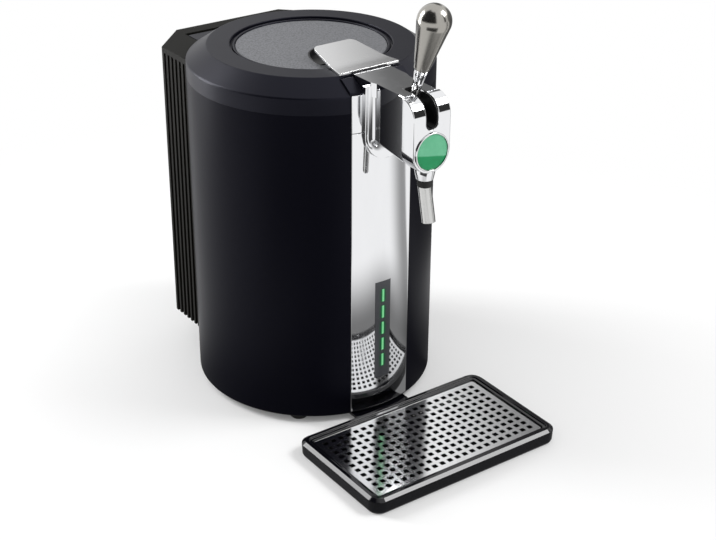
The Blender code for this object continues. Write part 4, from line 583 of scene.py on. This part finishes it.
def front_strip():
    """The bright strip, split by a fine seam, with the level display let into it."""
    window_low, window_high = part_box("display_window")
    window_radius = AXIS_Y - window_low.y
    window_angle = asin(window_high.x / window_radius)
    inner = STRIP_RADIUS - STRIP_THICKNESS
    strip = sector(inner, STRIP_RADIUS, STRIP_HALF_ANGLE, STRIP_LOW.z, STRIP_HIGH.z, 48)
    soften(strip, STRIP_EDGE, 3, radians(60))
    opening = sector(
        inner - OVERRUN, STRIP_RADIUS + OVERRUN, window_angle + GAP / STRIP_RADIUS,
        window_low.z - GAP, window_high.z + GAP, 16,
    )
    piece("bright_strip", carve(strip, opening), CHROME, "front_panel")
    base_low, base_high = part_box("tap_base")
    base = sector(inner, STRIP_RADIUS, STRIP_HALF_ANGLE, base_low.z, base_high.z, 48)
    piece("strip_top", soften(base, STRIP_EDGE, 3, radians(60)), CHROME, "tap_base")
    bars = [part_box(f"level_light_{number}") for number in range(1, 6)]
    window = sector(inner, window_radius, window_angle, window_low.z, window_high.z, 16)
    soften(window, 0.0018, 4, radians(60), lambda a, b: hypot(a.x - b.x, a.y - b.y) > SHELL_WALL / 2 and a.z == b.z
           and hypot(a.x - b.x, a.y - b.y) < SHELL_WALL)
    soften(window, 0.0003, 2, radians(60))
    spans = [(low.z, high.z) for low, high in bars]
    for low, high in bars:
        angle = (high.x + GAP / 2) / window_radius
        window = carve(window, sector(
            inner - OVERRUN, window_radius + OVERRUN, angle, low.z - GAP / 2, high.z + GAP / 2, 3,
        ))
    piece("level_window", window, level_glass(spans), "display_window")
    light = level_light()
    for number, (low, high) in enumerate(bars, 1):
        radius = AXIS_Y - low.y
        bar = sector(inner, radius, high.x / radius, low.z, high.z, 4)
        soften(bar, 0.0003, 2, radians(60))
        piece(f"level_bar_{number}", bar, light, f"level_light_{number}")


# ---- lid ----

RING_LOW, RING_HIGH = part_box("lid_ring")
DISC_LOW, DISC_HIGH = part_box("lid_disc")
BRIDGE_LOW, BRIDGE_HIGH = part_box("arm_bridge")
ARM_LOW, ARM_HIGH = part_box("tap_arm")
HOUSING_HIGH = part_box("rear_housing")[1]
LID_BOTTOM = RING_LOW.z
LID_TOP = RING_HIGH.z
LID_TOP_RADIUS = BODY_RADIUS - 0.022
LID_BAND = 0.018
LID_WALL = 0.003
GROOVE_RADIUS = BODY_RADIUS - 0.047
GROOVE_WIDTH = 0.0024
GROOVE_DEPTH = 0.0042
LIP_WIDTH = 0.003
LIP_DROP = 0.0018
DISC_THICKNESS = 0.003
DISC_SEAT = 0.005
HINGE_Y, HINGE_Z = frame["record"]["behaviour"]["joints"][0]["pos_m"][1:]
HINGE_HALF_WIDTH = 0.066
HINGE_BARREL_RADIUS = 0.0055


def lid_ring():
    """The lid's ring: upright band, rounded shoulder, wide flat top, groove and lip."""
    shoulder = LID_BOTTOM + LID_BAND
    lip_outer = GROOVE_RADIUS - GROOVE_WIDTH
    lip_inner = lip_outer - LIP_WIDTH
    seat = DISC_HIGH.z - DISC_THICKNESS - GAP
    groove_floor = LID_TOP - GROOVE_DEPTH
    under = seat - LID_WALL
    shape = lathe(rounded([
        (LID_TOP_RADIUS, LID_TOP, 0.003),
        (BODY_RADIUS, shoulder, 0.003),
        (BODY_RADIUS, LID_BOTTOM, 0.0006),
        (BODY_RADIUS - LID_WALL, LID_BOTTOM, 0),
        (BODY_RADIUS - LID_WALL, shoulder - LID_WALL / 2, 0),
        (GROOVE_RADIUS, under, 0),
        (lip_inner - DISC_SEAT, under, 0),
        (lip_inner - DISC_SEAT, seat, 0),
        (lip_inner, seat, 0),
        (lip_inner, LID_TOP - LIP_DROP, 0.0010),
        (lip_outer, LID_TOP - LIP_DROP, 0.0010),
        (lip_outer, groove_floor, 0.0006),
        (GROOVE_RADIUS, groove_floor, 0.0006),
        (GROOVE_RADIUS, LID_TOP, 0.0010),
    ], steps=5))
    tongue = carve(
        box_shape(
            (-HINGE_HALF_WIDTH, AXIS_Y + BODY_RADIUS / 2, LID_BOTTOM),
            (HINGE_HALF_WIDTH, HINGE_Y, HOUSING_HIGH.z),
        ),
        rod(BODY_RADIUS - LID_WALL / 2, (0, AXIS_Y, LID_BOTTOM - OVERRUN), (0, AXIS_Y, LID_TOP), TURN_STEPS),
    )
    tongue = carve(tongue, box_shape(
        (-BODY_RADIUS, HINGE_Y - HINGE_BARREL_RADIUS, 0), (BODY_RADIUS, HINGE_Y + OVERRUN, HINGE_Z),
    ))
    barrel = rod(HINGE_BARREL_RADIUS, (-HINGE_HALF_WIDTH, HINGE_Y, HINGE_Z), (HINGE_HALF_WIDTH, HINGE_Y, HINGE_Z), 48)
    shape = carve(shape, carve(tongue, barrel, "UNION"), "UNION")
    half = BRIDGE_HIGH.x + 2 * GAP
    notch = box_shape((-half, RING_LOW.y - OVERRUN, 0), (half, ARM_HIGH.y + 2 * GAP, LID_TOP + OVERRUN))
    piece("lid_outer_ring", carve(shape, notch), LID_BLACK, "lid_ring")


def well_outline(inset):
    """The finger well's outline in plan: an oval that is cut off square under the plate."""
    low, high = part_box("finger_well")
    turn_share = radians(8)
    half_width = (high.x - low.x) / 2 - inset
    centre = low.y + (high.y - low.y) * sin(turn_share) / (1 + sin(turn_share))
    length = high.y - centre - inset
    steps = 48
    turn = pi + 2 * turn_share
    return [
        (half_width * cos(turn * i / steps - turn_share), centre + length * sin(turn * i / steps - turn_share))
        for i in range(steps + 1)
    ]


def lid_middle():
    """The silver disc, the dark finger well let into it and the bright lifting plate."""
    radius = DISC_HIGH.x
    top = DISC_HIGH.z
    disc = lathe(rounded([
        (0, top, 0), (radius, top, 0.0006), (radius, DISC_LOW.z, 0), (0, DISC_LOW.z, 0),
    ], closed=False), closed=False)
    well_low, well_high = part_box("finger_well")
    cutter = extruded(well_outline(-GAP), well_low.z - OVERRUN, top + OVERRUN)
    piece("silver_disc", carve(disc, cutter), speckled_disc(), "lid_disc")
    wall = 0.0016
    well = carve(
        extruded(well_outline(0), well_low.z, well_high.z),
        extruded(well_outline(wall), well_low.z + wall, well_high.z + OVERRUN),
    )
    piece("well_cup", soften(well, 0.0004, 2, radians(60)), INNER_BLACK, "finger_well")
    plate_low, plate_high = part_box("lifting_plate")
    thickness = 0.0026
    front, back = plate_low.y, plate_high.y
    bend = front + 0.020
    side = extruded(rounded([
        (front, plate_low.z, 0),
        (bend, plate_low.z, 0.13),
        (back, plate_high.z - thickness, 0),
        (back, plate_high.z, 0),
        (bend, plate_low.z + thickness, 0.13),
        (front, plate_low.z + thickness, 0),
    ], steps=20), plate_low.x - OVERRUN, plate_high.x + OVERRUN, "X")
    inner_half = 0.025
    plan = extruded(rounded([
        (plate_low.x, front, 0.0015), (plate_high.x, front, 0.0015),
        (inner_half, back, 0.008), (-inner_half, back, 0.008),
    ], steps=10), plate_low.z - OVERRUN, plate_high.z + OVERRUN)
    plate = carve(side, plan, "INTERSECT")
    piece("lift_plate", soften(plate, 0.0004, 3, radians(50)), LIFT_STEEL, "lifting_plate")
    bridge = copy_of("arm_bridge")
    piece("bridge_block", soften(bridge, 0.0006, 2, radians(30)), LID_BLACK, "arm_bridge")


# ---- tap ----

HEAD_LOW, HEAD_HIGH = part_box("tap_head")
FRAME_LOW, FRAME_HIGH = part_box("tap_frame")
LINER_LOW, LINER_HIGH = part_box("slot_liner")
ARM_HALF_WIDTH = 0.020
ARM_ROOT_HALF_WIDTH = ARM_HIGH.x
ARM_FLARE = 0.008
ARM_CORNER = 0.004
ARM_TOP = ARM_HIGH.z
SLOT_HALF_WIDTH = LINER_HIGH.x + GAP
SLOT_FLOOR = LINER_LOW.z - GAP
SLOT_REAR = LINER_HIGH.y + GAP


def slot_cutter(half_width, floor):
    """The round-bottomed slot that the lever swings in, as a cutter."""
    outline = rounded([
        (-half_width, ARM_TOP + OVERRUN, 0), (-half_width, floor, half_width * 0.98),
        (half_width, floor, half_width * 0.98), (half_width, ARM_TOP + OVERRUN, 0),
    ], steps=10)
    return extruded(outline, HEAD_LOW.y - OVERRUN, SLOT_REAR, "Y")


def u_section(y, half_width, top, bottom, corner):
    """One section of the arm: flat on top, upright sides and a rounded bottom."""
    outline = rounded([
        (-half_width, top, 0.0012), (-half_width, bottom, corner),
        (half_width, bottom, corner), (half_width, top, 0.0012),
    ], steps=12)
    return [Vector((x, y, z)) for x, z in outline]


def tap_frame():
    """The U-shaped flange on the strip."""
    half = FRAME_HIGH.x
    centre_z = FRAME_LOW.z + half
    outline = arc(half, pi, 2 * pi, 48, (0, centre_z)) + [(half, FRAME_HIGH.z), (-half, FRAME_HIGH.z)]
    shape = extruded(outline, FRAME_LOW.y, FRAME_HIGH.y, "Y")
    soften(shape, 0.0022, 5, radians(50), lambda a, b: max(a.y, b.y) < FRAME_LOW.y + GAP)
    shape = carve(shape, rod(STRIP_RADIUS + GAP, (0, AXIS_Y, 0), (0, AXIS_Y, LID_TOP), TURN_STEPS))
    root = ARM_ROOT_HALF_WIDTH + GAP
    shape = carve(shape, box_shape((-root, FRAME_LOW.y - OVERRUN, BRIDGE_LOW.z + LID_BAND), (root, 0, LID_TOP)))
    piece("arm_flange", shape, CHROME, "tap_frame")


def tap_arm():
    """The arm, swept out of the flange in a trumpet curve, with its slab over the bridge."""
    face = FRAME_LOW.y - GAP
    front = ARM_LOW.y
    flange_half = FRAME_HIGH.x - 0.0006
    flange_bottom = FRAME_LOW.z + 0.0006
    rear_bottom = ARM_TOP - 0.062
    stations = 14
    rings = [u_section(front, ARM_HALF_WIDTH, ARM_TOP, ARM_LOW.z, ARM_CORNER)]
    for step in range(stations + 1):
        turn = pi / 2 * step / stations
        growth = 1 - cos(turn)
        y = face - ARM_FLARE * (1 - sin(turn))
        bottom = ARM_LOW.z + (rear_bottom - ARM_LOW.z) * (y - front) / (face - front)
        rings.append(u_section(
            y, ARM_HALF_WIDTH + (flange_half - ARM_HALF_WIDTH) * growth,
            ARM_TOP - (ARM_TOP - FRAME_HIGH.z) * growth,
            bottom + (flange_bottom - bottom) * growth,
            ARM_CORNER + (flange_half - GAP - ARM_CORNER) * growth,
        ))
    shape = lofted(rings)
    root = ARM_ROOT_HALF_WIDTH
    flare = rounded([
        (root, ARM_HIGH.y, 0), (root, face, 0.010), (ARM_HALF_WIDTH, face - ARM_FLARE, 0.010),
        (ARM_HALF_WIDTH, front + ARM_FLARE, 0),
    ], closed=False, steps=8)
    outline = list(flare) + [Vector((-point.x, point.y)) for point in reversed(flare)]
    slab_bottom = BRIDGE_LOW.z + LID_BAND
    slab = extruded(outline, slab_bottom, ARM_TOP)
    shape = carve(shape, slab, "UNION")
    bore = AXIS_Y - (HEAD_LOW.y + HEAD_HIGH.y) / 2
    bore_height = ARM_TOP - 0.046
    shape = carve(shape, rod(0.006, (0, AXIS_Y, bore_height), (0, AXIS_Y - bore, bore_height), 32))
    pivot = lever_pivot()
    shape = carve(shape, rod(0.0041, (0, pivot.y, bore_height), (0, pivot.y, SLOT_FLOOR + OVERRUN), 32))
    pin_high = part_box("pivot_pin")[1]
    reach = pin_high.x + GAP
    shape = carve(shape, rod(0.0023, (-reach, pivot.y, pivot.z), (reach, pivot.y, pivot.z), 32))
    shape = carve(shape, slot_cutter(SLOT_HALF_WIDTH, SLOT_FLOOR))
    piece("arm_body", shape, CHROME, "tap_arm", angle=radians(34))


def tap_head():
    """The head: rounded nose, half-round chin, and the slot between its two ears."""
    depth = HEAD_HIGH.y - HEAD_LOW.y
    half = HEAD_HIGH.x
    nose = arc(depth, pi / 2, pi, 28, (HEAD_HIGH.y, ARM_TOP - depth))
    side = [*nose, (HEAD_LOW.y, HEAD_LOW.z), (HEAD_HIGH.y, HEAD_LOW.z)]
    shape = extruded(side, -half, half, "X")
    chin = arc(half, pi, 2 * pi, 56, (0, HEAD_LOW.z + half))
    chin += [(half, ARM_TOP + OVERRUN), (-half, ARM_TOP + OVERRUN)]
    shape = carve(shape, extruded(chin, HEAD_LOW.y - OVERRUN, HEAD_HIGH.y + OVERRUN, "Y"), "INTERSECT")
    shape = carve(shape, slot_cutter(SLOT_HALF_WIDTH, SLOT_FLOOR))
    soften(shape, 0.0020, 5, radians(50))
    middle = (HEAD_LOW.y + HEAD_HIGH.y) / 2
    bore_height = ARM_TOP - 0.046
    shape = carve(shape, rod(0.006, (0, middle, 0), (0, middle, bore_height + 0.006), 32))
    shape = carve(shape, rod(0.006, (0, AXIS_Y, bore_height), (0, middle, bore_height), 32))
    piece("head_casting", shape, CHROME, "tap_head", angle=radians(34))


def badge():
    """The bare round badge: a thin pale rim round a slightly domed enamel face."""
    low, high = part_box("badge_rim")
    face_low, face_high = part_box("badge_face")
    centre_z = (low.z + high.z) / 2
    turn = Matrix.Translation((0, high.y, centre_z)) @ Matrix.Rotation(pi / 2, 4, "X")
    outer, depth = high.x, high.y - low.y
    inner = face_high.x + GAP
    rim = lathe(rounded([
        (outer, 0, 0), (outer, depth, 0.0006), (inner, depth, 0.0004), (inner, 0, 0),
    ]), SMALL_TURN_STEPS, (0, 0))
    bmesh.ops.transform(rim, matrix=turn, verts=rim.verts)
    piece("badge_ring", rim, PLATE_POLISH, "badge_rim")
    radius, thick = face_high.x, face_high.y - face_low.y
    bulge = 0.0004
    dome = [(radius * share, thick - bulge * share ** 2) for share in (0, 0.2, 0.4, 0.6, 0.8, 0.93)]
    face = lathe([*dome, (radius, thick - bulge * 2), (radius, 0), (0, 0)], SMALL_TURN_STEPS, (0, 0), closed=False)
    bmesh.ops.transform(face, matrix=turn, verts=face.verts)
    piece("badge_enamel", face, enamel(centre_z), "badge_face")


def spout():
    """Chrome neck, rubber collar and the tilted steel tube with its thin, slanted mouth."""
    low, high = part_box("spout_neck")
    centre = ((low.x + high.x) / 2, (low.y + high.y) / 2)
    bore = 0.006
    bottom_radius = 0.0086
    neck = lathe(rounded([
        (high.x, high.z + 0.006, 0), (high.x - 0.0002, high.z - 0.001, 0.02), (bottom_radius, low.z, 0.0008),
        (bore, low.z, 0.0004), (bore, high.z + 0.006, 0),
    ], steps=6), SMALL_TURN_STEPS, centre)
    piece("spout_collet", neck, CHROME, "spout_neck")
    low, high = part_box("spout_collar")
    collar = lathe(rounded([
        (high.x, high.z, 0.0010), (high.x, low.z, 0.0012), (bore, low.z, 0), (bore, high.z, 0),
    ]), SMALL_TURN_STEPS, centre)
    piece("spout_grommet", collar, RUBBER, "spout_collar")
    low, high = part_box("spout_tube")
    tilt = radians(13)
    radius = high.x
    wall = 0.0010
    along = Vector((0, sin(tilt), cos(tilt)))
    top = Vector((0, centre[1], high.z))
    foot_z = low.z + radius * sin(tilt)
    length = (top.z - foot_z) / cos(tilt)
    tube = lathe(rounded([
        (radius, length + radius, 0), (radius, 0, 0.0004),
        (radius - wall, 0, 0.0004), (radius - wall, length + radius, 0),
    ]), SMALL_TURN_STEPS, (0, 0))
    foot = top - along * length
    turn = Matrix.Translation(foot) @ along.to_track_quat("Z", "X").to_matrix().to_4x4()
    bmesh.ops.transform(tube, matrix=turn, verts=tube.verts)
    cap = box_shape((-radius * 3, top.y - radius * 4, top.z), (radius * 3, top.y + radius * 4, top.z + radius * 3))
    piece("spout_pipe", carve(tube, cap), SPOUT_STEEL, "spout_tube")


# ---- lever ----

LEVER_LEAN = radians(18.5)
GRIP_START = 0.0423
KNOB_CENTRE = 0.0970
KNOB_RADIUS = 0.0169
GRIP_NECK_RADIUS = 0.0076
NECK_START = 0.0203
NECK_LOW_RADIUS = 0.0046
NECK_HIGH_RADIUS = 0.0072
FLUTE_COUNT = 12
FLUTE_DEPTH = 0.0013


def lever_pivot():
    """The lever's hinge, from the model's joint."""
    joint = next(joint for joint in frame["record"]["behaviour"]["joints"] if joint["name"] == "lever_hinge")
    return Vector(joint["pos_m"])


def lever():
    """The club-shaped grip and the fluted neck under it."""
    place = Matrix.Translation(lever_pivot()) @ Matrix.Rotation(LEVER_LEAN, 4, "X")
    cone = KNOB_CENTRE - GRIP_START
    knob_start = -atan2(cone, GRIP_NECK_RADIUS) + acos(KNOB_RADIUS / hypot(cone, GRIP_NECK_RADIUS))
    lip = 0.0008
    profile = [(0, KNOB_CENTRE + KNOB_RADIUS)]
    profile += arc(KNOB_RADIUS, pi / 2, knob_start, 40, (0, KNOB_CENTRE))[1:]
    profile += [
        (GRIP_NECK_RADIUS + lip / 4, GRIP_START + lip), (GRIP_NECK_RADIUS - lip / 2, GRIP_START), (0, GRIP_START),
    ]
    grip = lathe(profile, SMALL_TURN_STEPS, (0, 0), closed=False)
    bmesh.ops.transform(grip, matrix=place, verts=grip.verts)
    piece("lever_club", grip, GRIP_STEEL, "lever_grip")
    rings = []
    stations = 16
    points = FLUTE_COUNT * 10
    high = GRIP_START - GAP
    for step in range(stations + 1):
        share = step / stations
        radius = NECK_LOW_RADIUS + (NECK_HIGH_RADIUS - NECK_LOW_RADIUS) * share ** 1.4
        depth = FLUTE_DEPTH * sin(pi * min(1, share * 0.9 + 0.1) / 1.15)
        rings.append([
            Vector((
                (radius - depth * abs(sin(FLUTE_COUNT * pi * i / points))) * cos(2 * pi * i / points),
                (radius - depth * abs(sin(FLUTE_COUNT * pi * i / points))) * sin(2 * pi * i / points),
                NECK_START + (high - NECK_START) * share,
            ))
            for i in range(points)
        ])
    neck = lofted(rings)
    bmesh.ops.transform(neck, matrix=place, verts=neck.verts)
    piece("lever_flutes", neck, CHROME, "lever_neck", angle=radians(50))


# ---- rear housing and its fittings ----

def rear_housing():
    """The finned housing with its ribs' edges rounded."""
    shape = copy_of("rear_housing")
    tall = 0.1

    def upright(a, b):
        return abs(a.z - b.z) > tall

    def top_rim(a, b):
        return min(a.z, b.z) > HOUSING_HIGH.z - GAP and (a - b).length > 0.004

    soften(shape, 0.0005, 2, radians(30), lambda a, b: upright(a, b) or top_rim(a, b))
    piece("finned_housing", shape, HOUSING_BLACK, "rear_housing", angle=radians(25))
    for node, name, finish, width in (
        ("mains_inlet", "inlet_shroud", INNER_BLACK, 0.0005), ("switch_frame", "switch_bezel", INNER_BLACK, 0.0005),
        ("power_switch", "switch_rocker", DARK_GREY, 0.0004),
    ):
        piece(name, soften(copy_of(node), width, 2, radians(50)), finish, node)


# ---- tray ----

TRAY_LOW, TRAY_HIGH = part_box("drip_tray")
GRID_LOW, GRID_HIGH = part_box("drip_grid")
TRAY_BACK = GRID_HIGH.y + 0.0123
TRAY_CORNER = 0.014
HOLE_COLUMNS = 21
HOLE_ROWS = 11
HOLE_PITCH = 0.0099
HOLE_HALF_WIDTH = 0.0029


def drip_tray():
    """The gloss black tray: a bevelled rim, a step down to the plate and a basin under it."""
    height = TRAY_HIGH.z
    profile = rounded([
        (0.0170, 0.0008, 0), (0.0020, 0, 0.0015), (0.0006, 0.003, 0.002), (0, height - 0.0028, 0.0008),
        (0.0040, height, 0.0008), (0.0076, height, 0.0008), (0.0088, height - 0.0014, 0.0007),
        (0.0116, height - 0.0016, 0.0007), (0.0120, height - 0.0048, 0.0003), (0.0168, height - 0.0048, 0.0005),
        (0.0176, 0.003, 0.0015), (0.0260, 0.003, 0),
    ], closed=False, steps=4)
    rings = []
    for inset, z in profile:
        corner = max(TRAY_CORNER - inset, 0.002)
        outline = rounded([
            (TRAY_LOW.x + inset, TRAY_LOW.y + inset, corner), (TRAY_HIGH.x - inset, TRAY_LOW.y + inset, corner),
            (TRAY_HIGH.x - inset, TRAY_BACK - inset, corner), (TRAY_LOW.x + inset, TRAY_BACK - inset, corner),
        ], steps=12)
        rings.append([Vector((x, y, z)) for x, y in outline])
    shape = lofted(rings)
    tongue_half = 0.035
    tongue = box_shape((-tongue_half, TRAY_BACK - 0.006, 0.0032), (tongue_half, TRAY_HIGH.y, 0.0062))
    piece("gloss_tray", carve(shape, tongue, "UNION"), GLOSS_BLACK, "drip_tray")


def drip_plate():
    """The polished plate with its even grid of rounded square holes."""
    middle = (GRID_LOW + GRID_HIGH) / 2

    def stops(count, low, high, centre):
        inside = [
            centre + (index - (count - 1) / 2) * HOLE_PITCH + side * HOLE_HALF_WIDTH
            for index in range(count) for side in (-1, 1)
        ]
        return [low, *inside, high]

    columns = stops(HOLE_COLUMNS, GRID_LOW.x, GRID_HIGH.x, middle.x)
    rows = stops(HOLE_ROWS, GRID_LOW.y, GRID_HIGH.y, middle.y)
    shape = bmesh.new()
    bmesh.ops.create_grid(shape, x_segments=len(columns) - 1, y_segments=len(rows) - 1, size=1)
    shape.verts.ensure_lookup_table()
    for index, vert in enumerate(shape.verts):
        vert.co = (columns[index % len(columns)], rows[index // len(columns)], GRID_LOW.z)
    holes = [
        face for face in shape.faces
        if abs(face.calc_center_median().x - middle.x) < HOLE_COLUMNS / 2 * HOLE_PITCH
        and face.calc_area() < 5 * HOLE_HALF_WIDTH ** 2
        and max(edge.calc_length() for edge in face.edges) < 2.05 * HOLE_HALF_WIDTH
        and min(edge.calc_length() for edge in face.edges) > 1.95 * HOLE_HALF_WIDTH
    ]
    bmesh.ops.delete(shape, geom=holes, context="FACES")
    grown = bmesh.ops.extrude_face_region(shape, geom=shape.faces[:])
    moved = [item for item in grown["geom"] if isinstance(item, bmesh.types.BMVert)]
    bmesh.ops.translate(shape, verts=moved, vec=(0, 0, GRID_HIGH.z - GRID_LOW.z))
    close(shape)
    bmesh.ops.dissolve_limit(
        shape, angle_limit=radians(0.5), verts=shape.verts, edges=shape.edges, delimit={"NORMAL"},
    )
    edge_x = GRID_HIGH.x - GAP

    def outer(a, b):
        return abs(a.z - b.z) > GAP and abs(a.x) > edge_x

    def hole_corner(a, b):
        return abs(a.z - b.z) > GAP and abs(a.x) < edge_x

    soften(shape, 0.004, 6, radians(50), outer)
    soften(shape, 0.0009, 2, radians(50), hole_corner)
    piece("perforated_plate", shape, PLATE_POLISH, "drip_grid", angle=radians(30))


# ---- pieces that keep the model's shape ----

KEPT = {
    "base_pan": INNER_BLACK, "foot_front_left": RUBBER, "foot_front_right": RUBBER, "foot_back_left": RUBBER,
    "foot_back_right": RUBBER, "keg_chamber": WELL_ALUMINIUM, "chamber_floor": WELL_ALUMINIUM,
    "top_collar": DARK_GREY, "insulation": rigid_foam(), "display_board": circuit_board(),
    "main_board": circuit_board(), "power_supply": DARK_GREY, "cold_plate": SINK_ALUMINIUM,
    "thermo_module": ceramic(), "heat_sink": SINK_ALUMINIUM, "fan_frame": INNER_BLACK, "fan_rotor": INNER_BLACK,
    "hinge_pin": PIN_STEEL, "pivot_pin": PIN_STEEL, "slot_liner": INNER_BLACK, "lever_stem": PIN_STEEL,
    "valve_plunger": DARK_GREY, "lid_liner": DARK_GREY, "lid_plug": DARK_GREY, "lid_seal": RUBBER,
}


def dress_kept_nodes():
    """Give the pieces that keep the model's own shape their finishes."""
    for node, material in KEPT.items():
        for material_slot in frame["nodes"][node].material_slots:
            material_slot.material = material


# ---- studio ----

def add_camera():
    """The camera, at the photo's place."""
    data = bpy.data.cameras.new("camera")
    data.sensor_width = 36
    data.lens = CAMERA_LENS
    camera = bpy.data.objects.new("camera", data)
    bpy.context.scene.collection.objects.link(camera)
    flat = cos(CAMERA_PITCH)
    back = Vector((sin(CAMERA_AZIMUTH) * flat, -cos(CAMERA_AZIMUTH) * flat, sin(CAMERA_PITCH)))
    turn = back.to_track_quat("Z", "Y").to_matrix() @ Matrix.Rotation(CAMERA_ROLL, 3, "Z")
    camera.rotation_euler = turn.to_euler()
    camera.location = CAMERA_PLACE
    bpy.context.scene.camera = camera


def seen_directly(nodes):
    """One for rays from the camera, a mirror or a glass, nothing for the rest."""
    paths = nodes.node("ShaderNodeLightPath", {}, {})
    outputs = paths.socket.node.outputs
    seen = sum((Signal(nodes, outputs[name]) for name in ("Is Glossy Ray", "Is Transmission Ray")),
               Signal(nodes, outputs["Is Camera Ray"]))
    return seen.clipped(), Signal(nodes, outputs["Is Glossy Ray"])


def add_world():
    """White all round for the eye; mirrors also show black flags in front and a grey card behind."""
    world = bpy.data.worlds.new("studio")
    bpy.context.scene.world = world
    nodes = Nodes(world)
    seen, glossy = seen_directly(nodes)
    x, y, z = nodes.along(nodes.place())
    side = nodes.node("ShaderNodeMath", {"operation": "ARCTAN2"}, {0: x, 1: 0 - y})
    right_flag = side.ramp(radians(27), radians(32)) * (1 - side.ramp(radians(70), radians(80)))
    right_flag = right_flag * (1 - z.ramp(0.76, 0.82))
    right_flag = right_flag * (1 - side.ramp(radians(43), radians(47)) * (1 - z.ramp(0.50, 0.55)))
    left_flag = side.ramp(radians(-150), radians(-125)) * (1 - side.ramp(radians(-30), radians(-18)))
    left_flag = left_flag * (1 - z.ramp(0.93, 0.98))
    front = (right_flag + left_flag).clipped() * z.ramp(-0.03, 0.02)
    right = x.ramp(0.80, 0.90) * (1 - z.ramp(0.30, 0.45))
    turn = nodes.node("ShaderNodeMath", {"operation": "ARCTAN2"}, {0: x, 1: y}) - (z - 0.34) * 0.55
    card = turn.ramp(radians(32), radians(37)) * (1 - turn.ramp(radians(48), radians(60))) * (1 - z.ramp(0.58, 0.64))
    shade = (1 - front * 0.97) * (1 - right * 0.8) * (1 - card * 0.85)
    level = seen * (1 - glossy * (1 - shade)) + (1 - seen) * 0.62
    background = nodes.tree.nodes["Background"]
    nodes.join(background.inputs["Strength"], level)
    background.inputs["Color"].default_value = (1, 1, 1, 1)


def add_floor():
    """A pale floor that keeps the shadow and is white elsewhere; for mirrors it is painted darker in a few patches,
    with a painted shadow round the tray.
    """
    shape = bmesh.new()
    bmesh.ops.create_grid(shape, x_segments=8, y_segments=8, size=6)
    mesh = bpy.data.meshes.new("floor")
    shape.to_mesh(mesh)
    shape.free()
    floor = bpy.data.objects.new("floor", mesh)
    bpy.context.scene.collection.objects.link(floor)
    finish = Finish("pale_floor", (0.88, 0.88, 0.88), 0.9, Specular_IOR_Level=0.0)
    seen, glossy = seen_directly(finish)
    x, y, z = finish.along()
    y = y - AXIS_Y
    away = (x * x + y * y) ** 0.5
    turn = finish.node("ShaderNodeMath", {"operation": "ARCTAN2"}, {0: x, 1: 0 - y})
    # painted shade seen only in mirrors: a grey sector and patches in front and to the right
    grey = turn.ramp(radians(33), radians(50)) * (1 - turn.ramp(radians(53), radians(56)))
    front_mirror_shade = turn.ramp(radians(-80), radians(-68)) * (1 - turn.ramp(radians(-12), radians(-6)))
    front_mirror_shade = front_mirror_shade * away.ramp(0.46, 0.52) * (1 - away.ramp(0.95, 1.15))
    right_mirror_shade = turn.ramp(radians(60), radians(70)) * (1 - turn.ramp(radians(120), radians(140)))
    right_mirror_shade = right_mirror_shade * away.ramp(0.28, 0.45)
    beside = (abs(x) - TRAY_HIGH.x).clipped(0, 2)
    ahead = (abs(y + (AXIS_Y - TRAY_LOW.y) / 2) - (AXIS_Y - TRAY_LOW.y) / 2).clipped(0, 2)
    # painted contact shadow round the tray, seen only in mirrors
    tray_mirror_shadow = 1 - ((beside * beside + ahead * ahead) ** 0.5).ramp(0.04, 0.22)
    mirrored = (1 - grey * 0.66) * (1 - front_mirror_shade * 0.94) * (1 - right_mirror_shade * 0.85) * (1 - tray_mirror_shadow * 0.8)
    glow = finish.node("ShaderNodeEmission", {}, {"Color": (1, 1, 1), "Strength": 1 - glossy * (1 - mirrored)})
    share = seen * (0.10 + 0.90 * away.ramp(0.26, 0.80))
    mixed = finish.node("ShaderNodeMixShader", {}, {
        0: share + glossy * (1 - share), 1: Signal(finish, finish.shader.outputs[0]), 2: glow,
    })
    finish.join(finish.tree.nodes["Material Output"].inputs["Surface"], mixed)
    mesh.materials.append(finish.material)


def add_lamp(name, place, target, size, power):
    """A rectangular soft lamp that looks at a point."""
    data = bpy.data.lights.new(name, "AREA")
    data.shape = "RECTANGLE"
    data.size, data.size_y = size
    data.energy = power
    lamp = bpy.data.objects.new(name, data)
    lamp.location = place
    lamp.rotation_euler = (Vector(place) - Vector(target)).to_track_quat("Z", "Y").to_euler()
    lamp.visible_camera = False
    bpy.context.scene.collection.objects.link(lamp)


def add_lamps():
    """A tall soft box low behind on the left, one high in front on the right and one high behind."""
    middle = (0, AXIS_Y, 0.2)
    add_lamp("left_box", (-0.92, AXIS_Y + 1.02, 0.40), middle, (0.30, 1.1), 15)
    add_lamp("front_box", (0.95, AXIS_Y - 0.84, 1.42), (0, AXIS_Y - 0.1, 0), (0.7, 0.6), 15)
    add_lamp("back_box", (-0.80, AXIS_Y + 1.02, 1.15), (0, AXIS_Y - 0.1, 0), (0.6, 0.6), 9)


bpy.context.scene.view_settings.view_transform = "Standard"
add_camera()
body_shell()
front_strip()
lid_ring()
lid_middle()
tap_frame()
tap_arm()
tap_head()
badge()
spout()
lever()
rear_housing()
drip_tray()
drip_plate()
dress_kept_nodes()
add_world()
add_floor()
add_lamps()
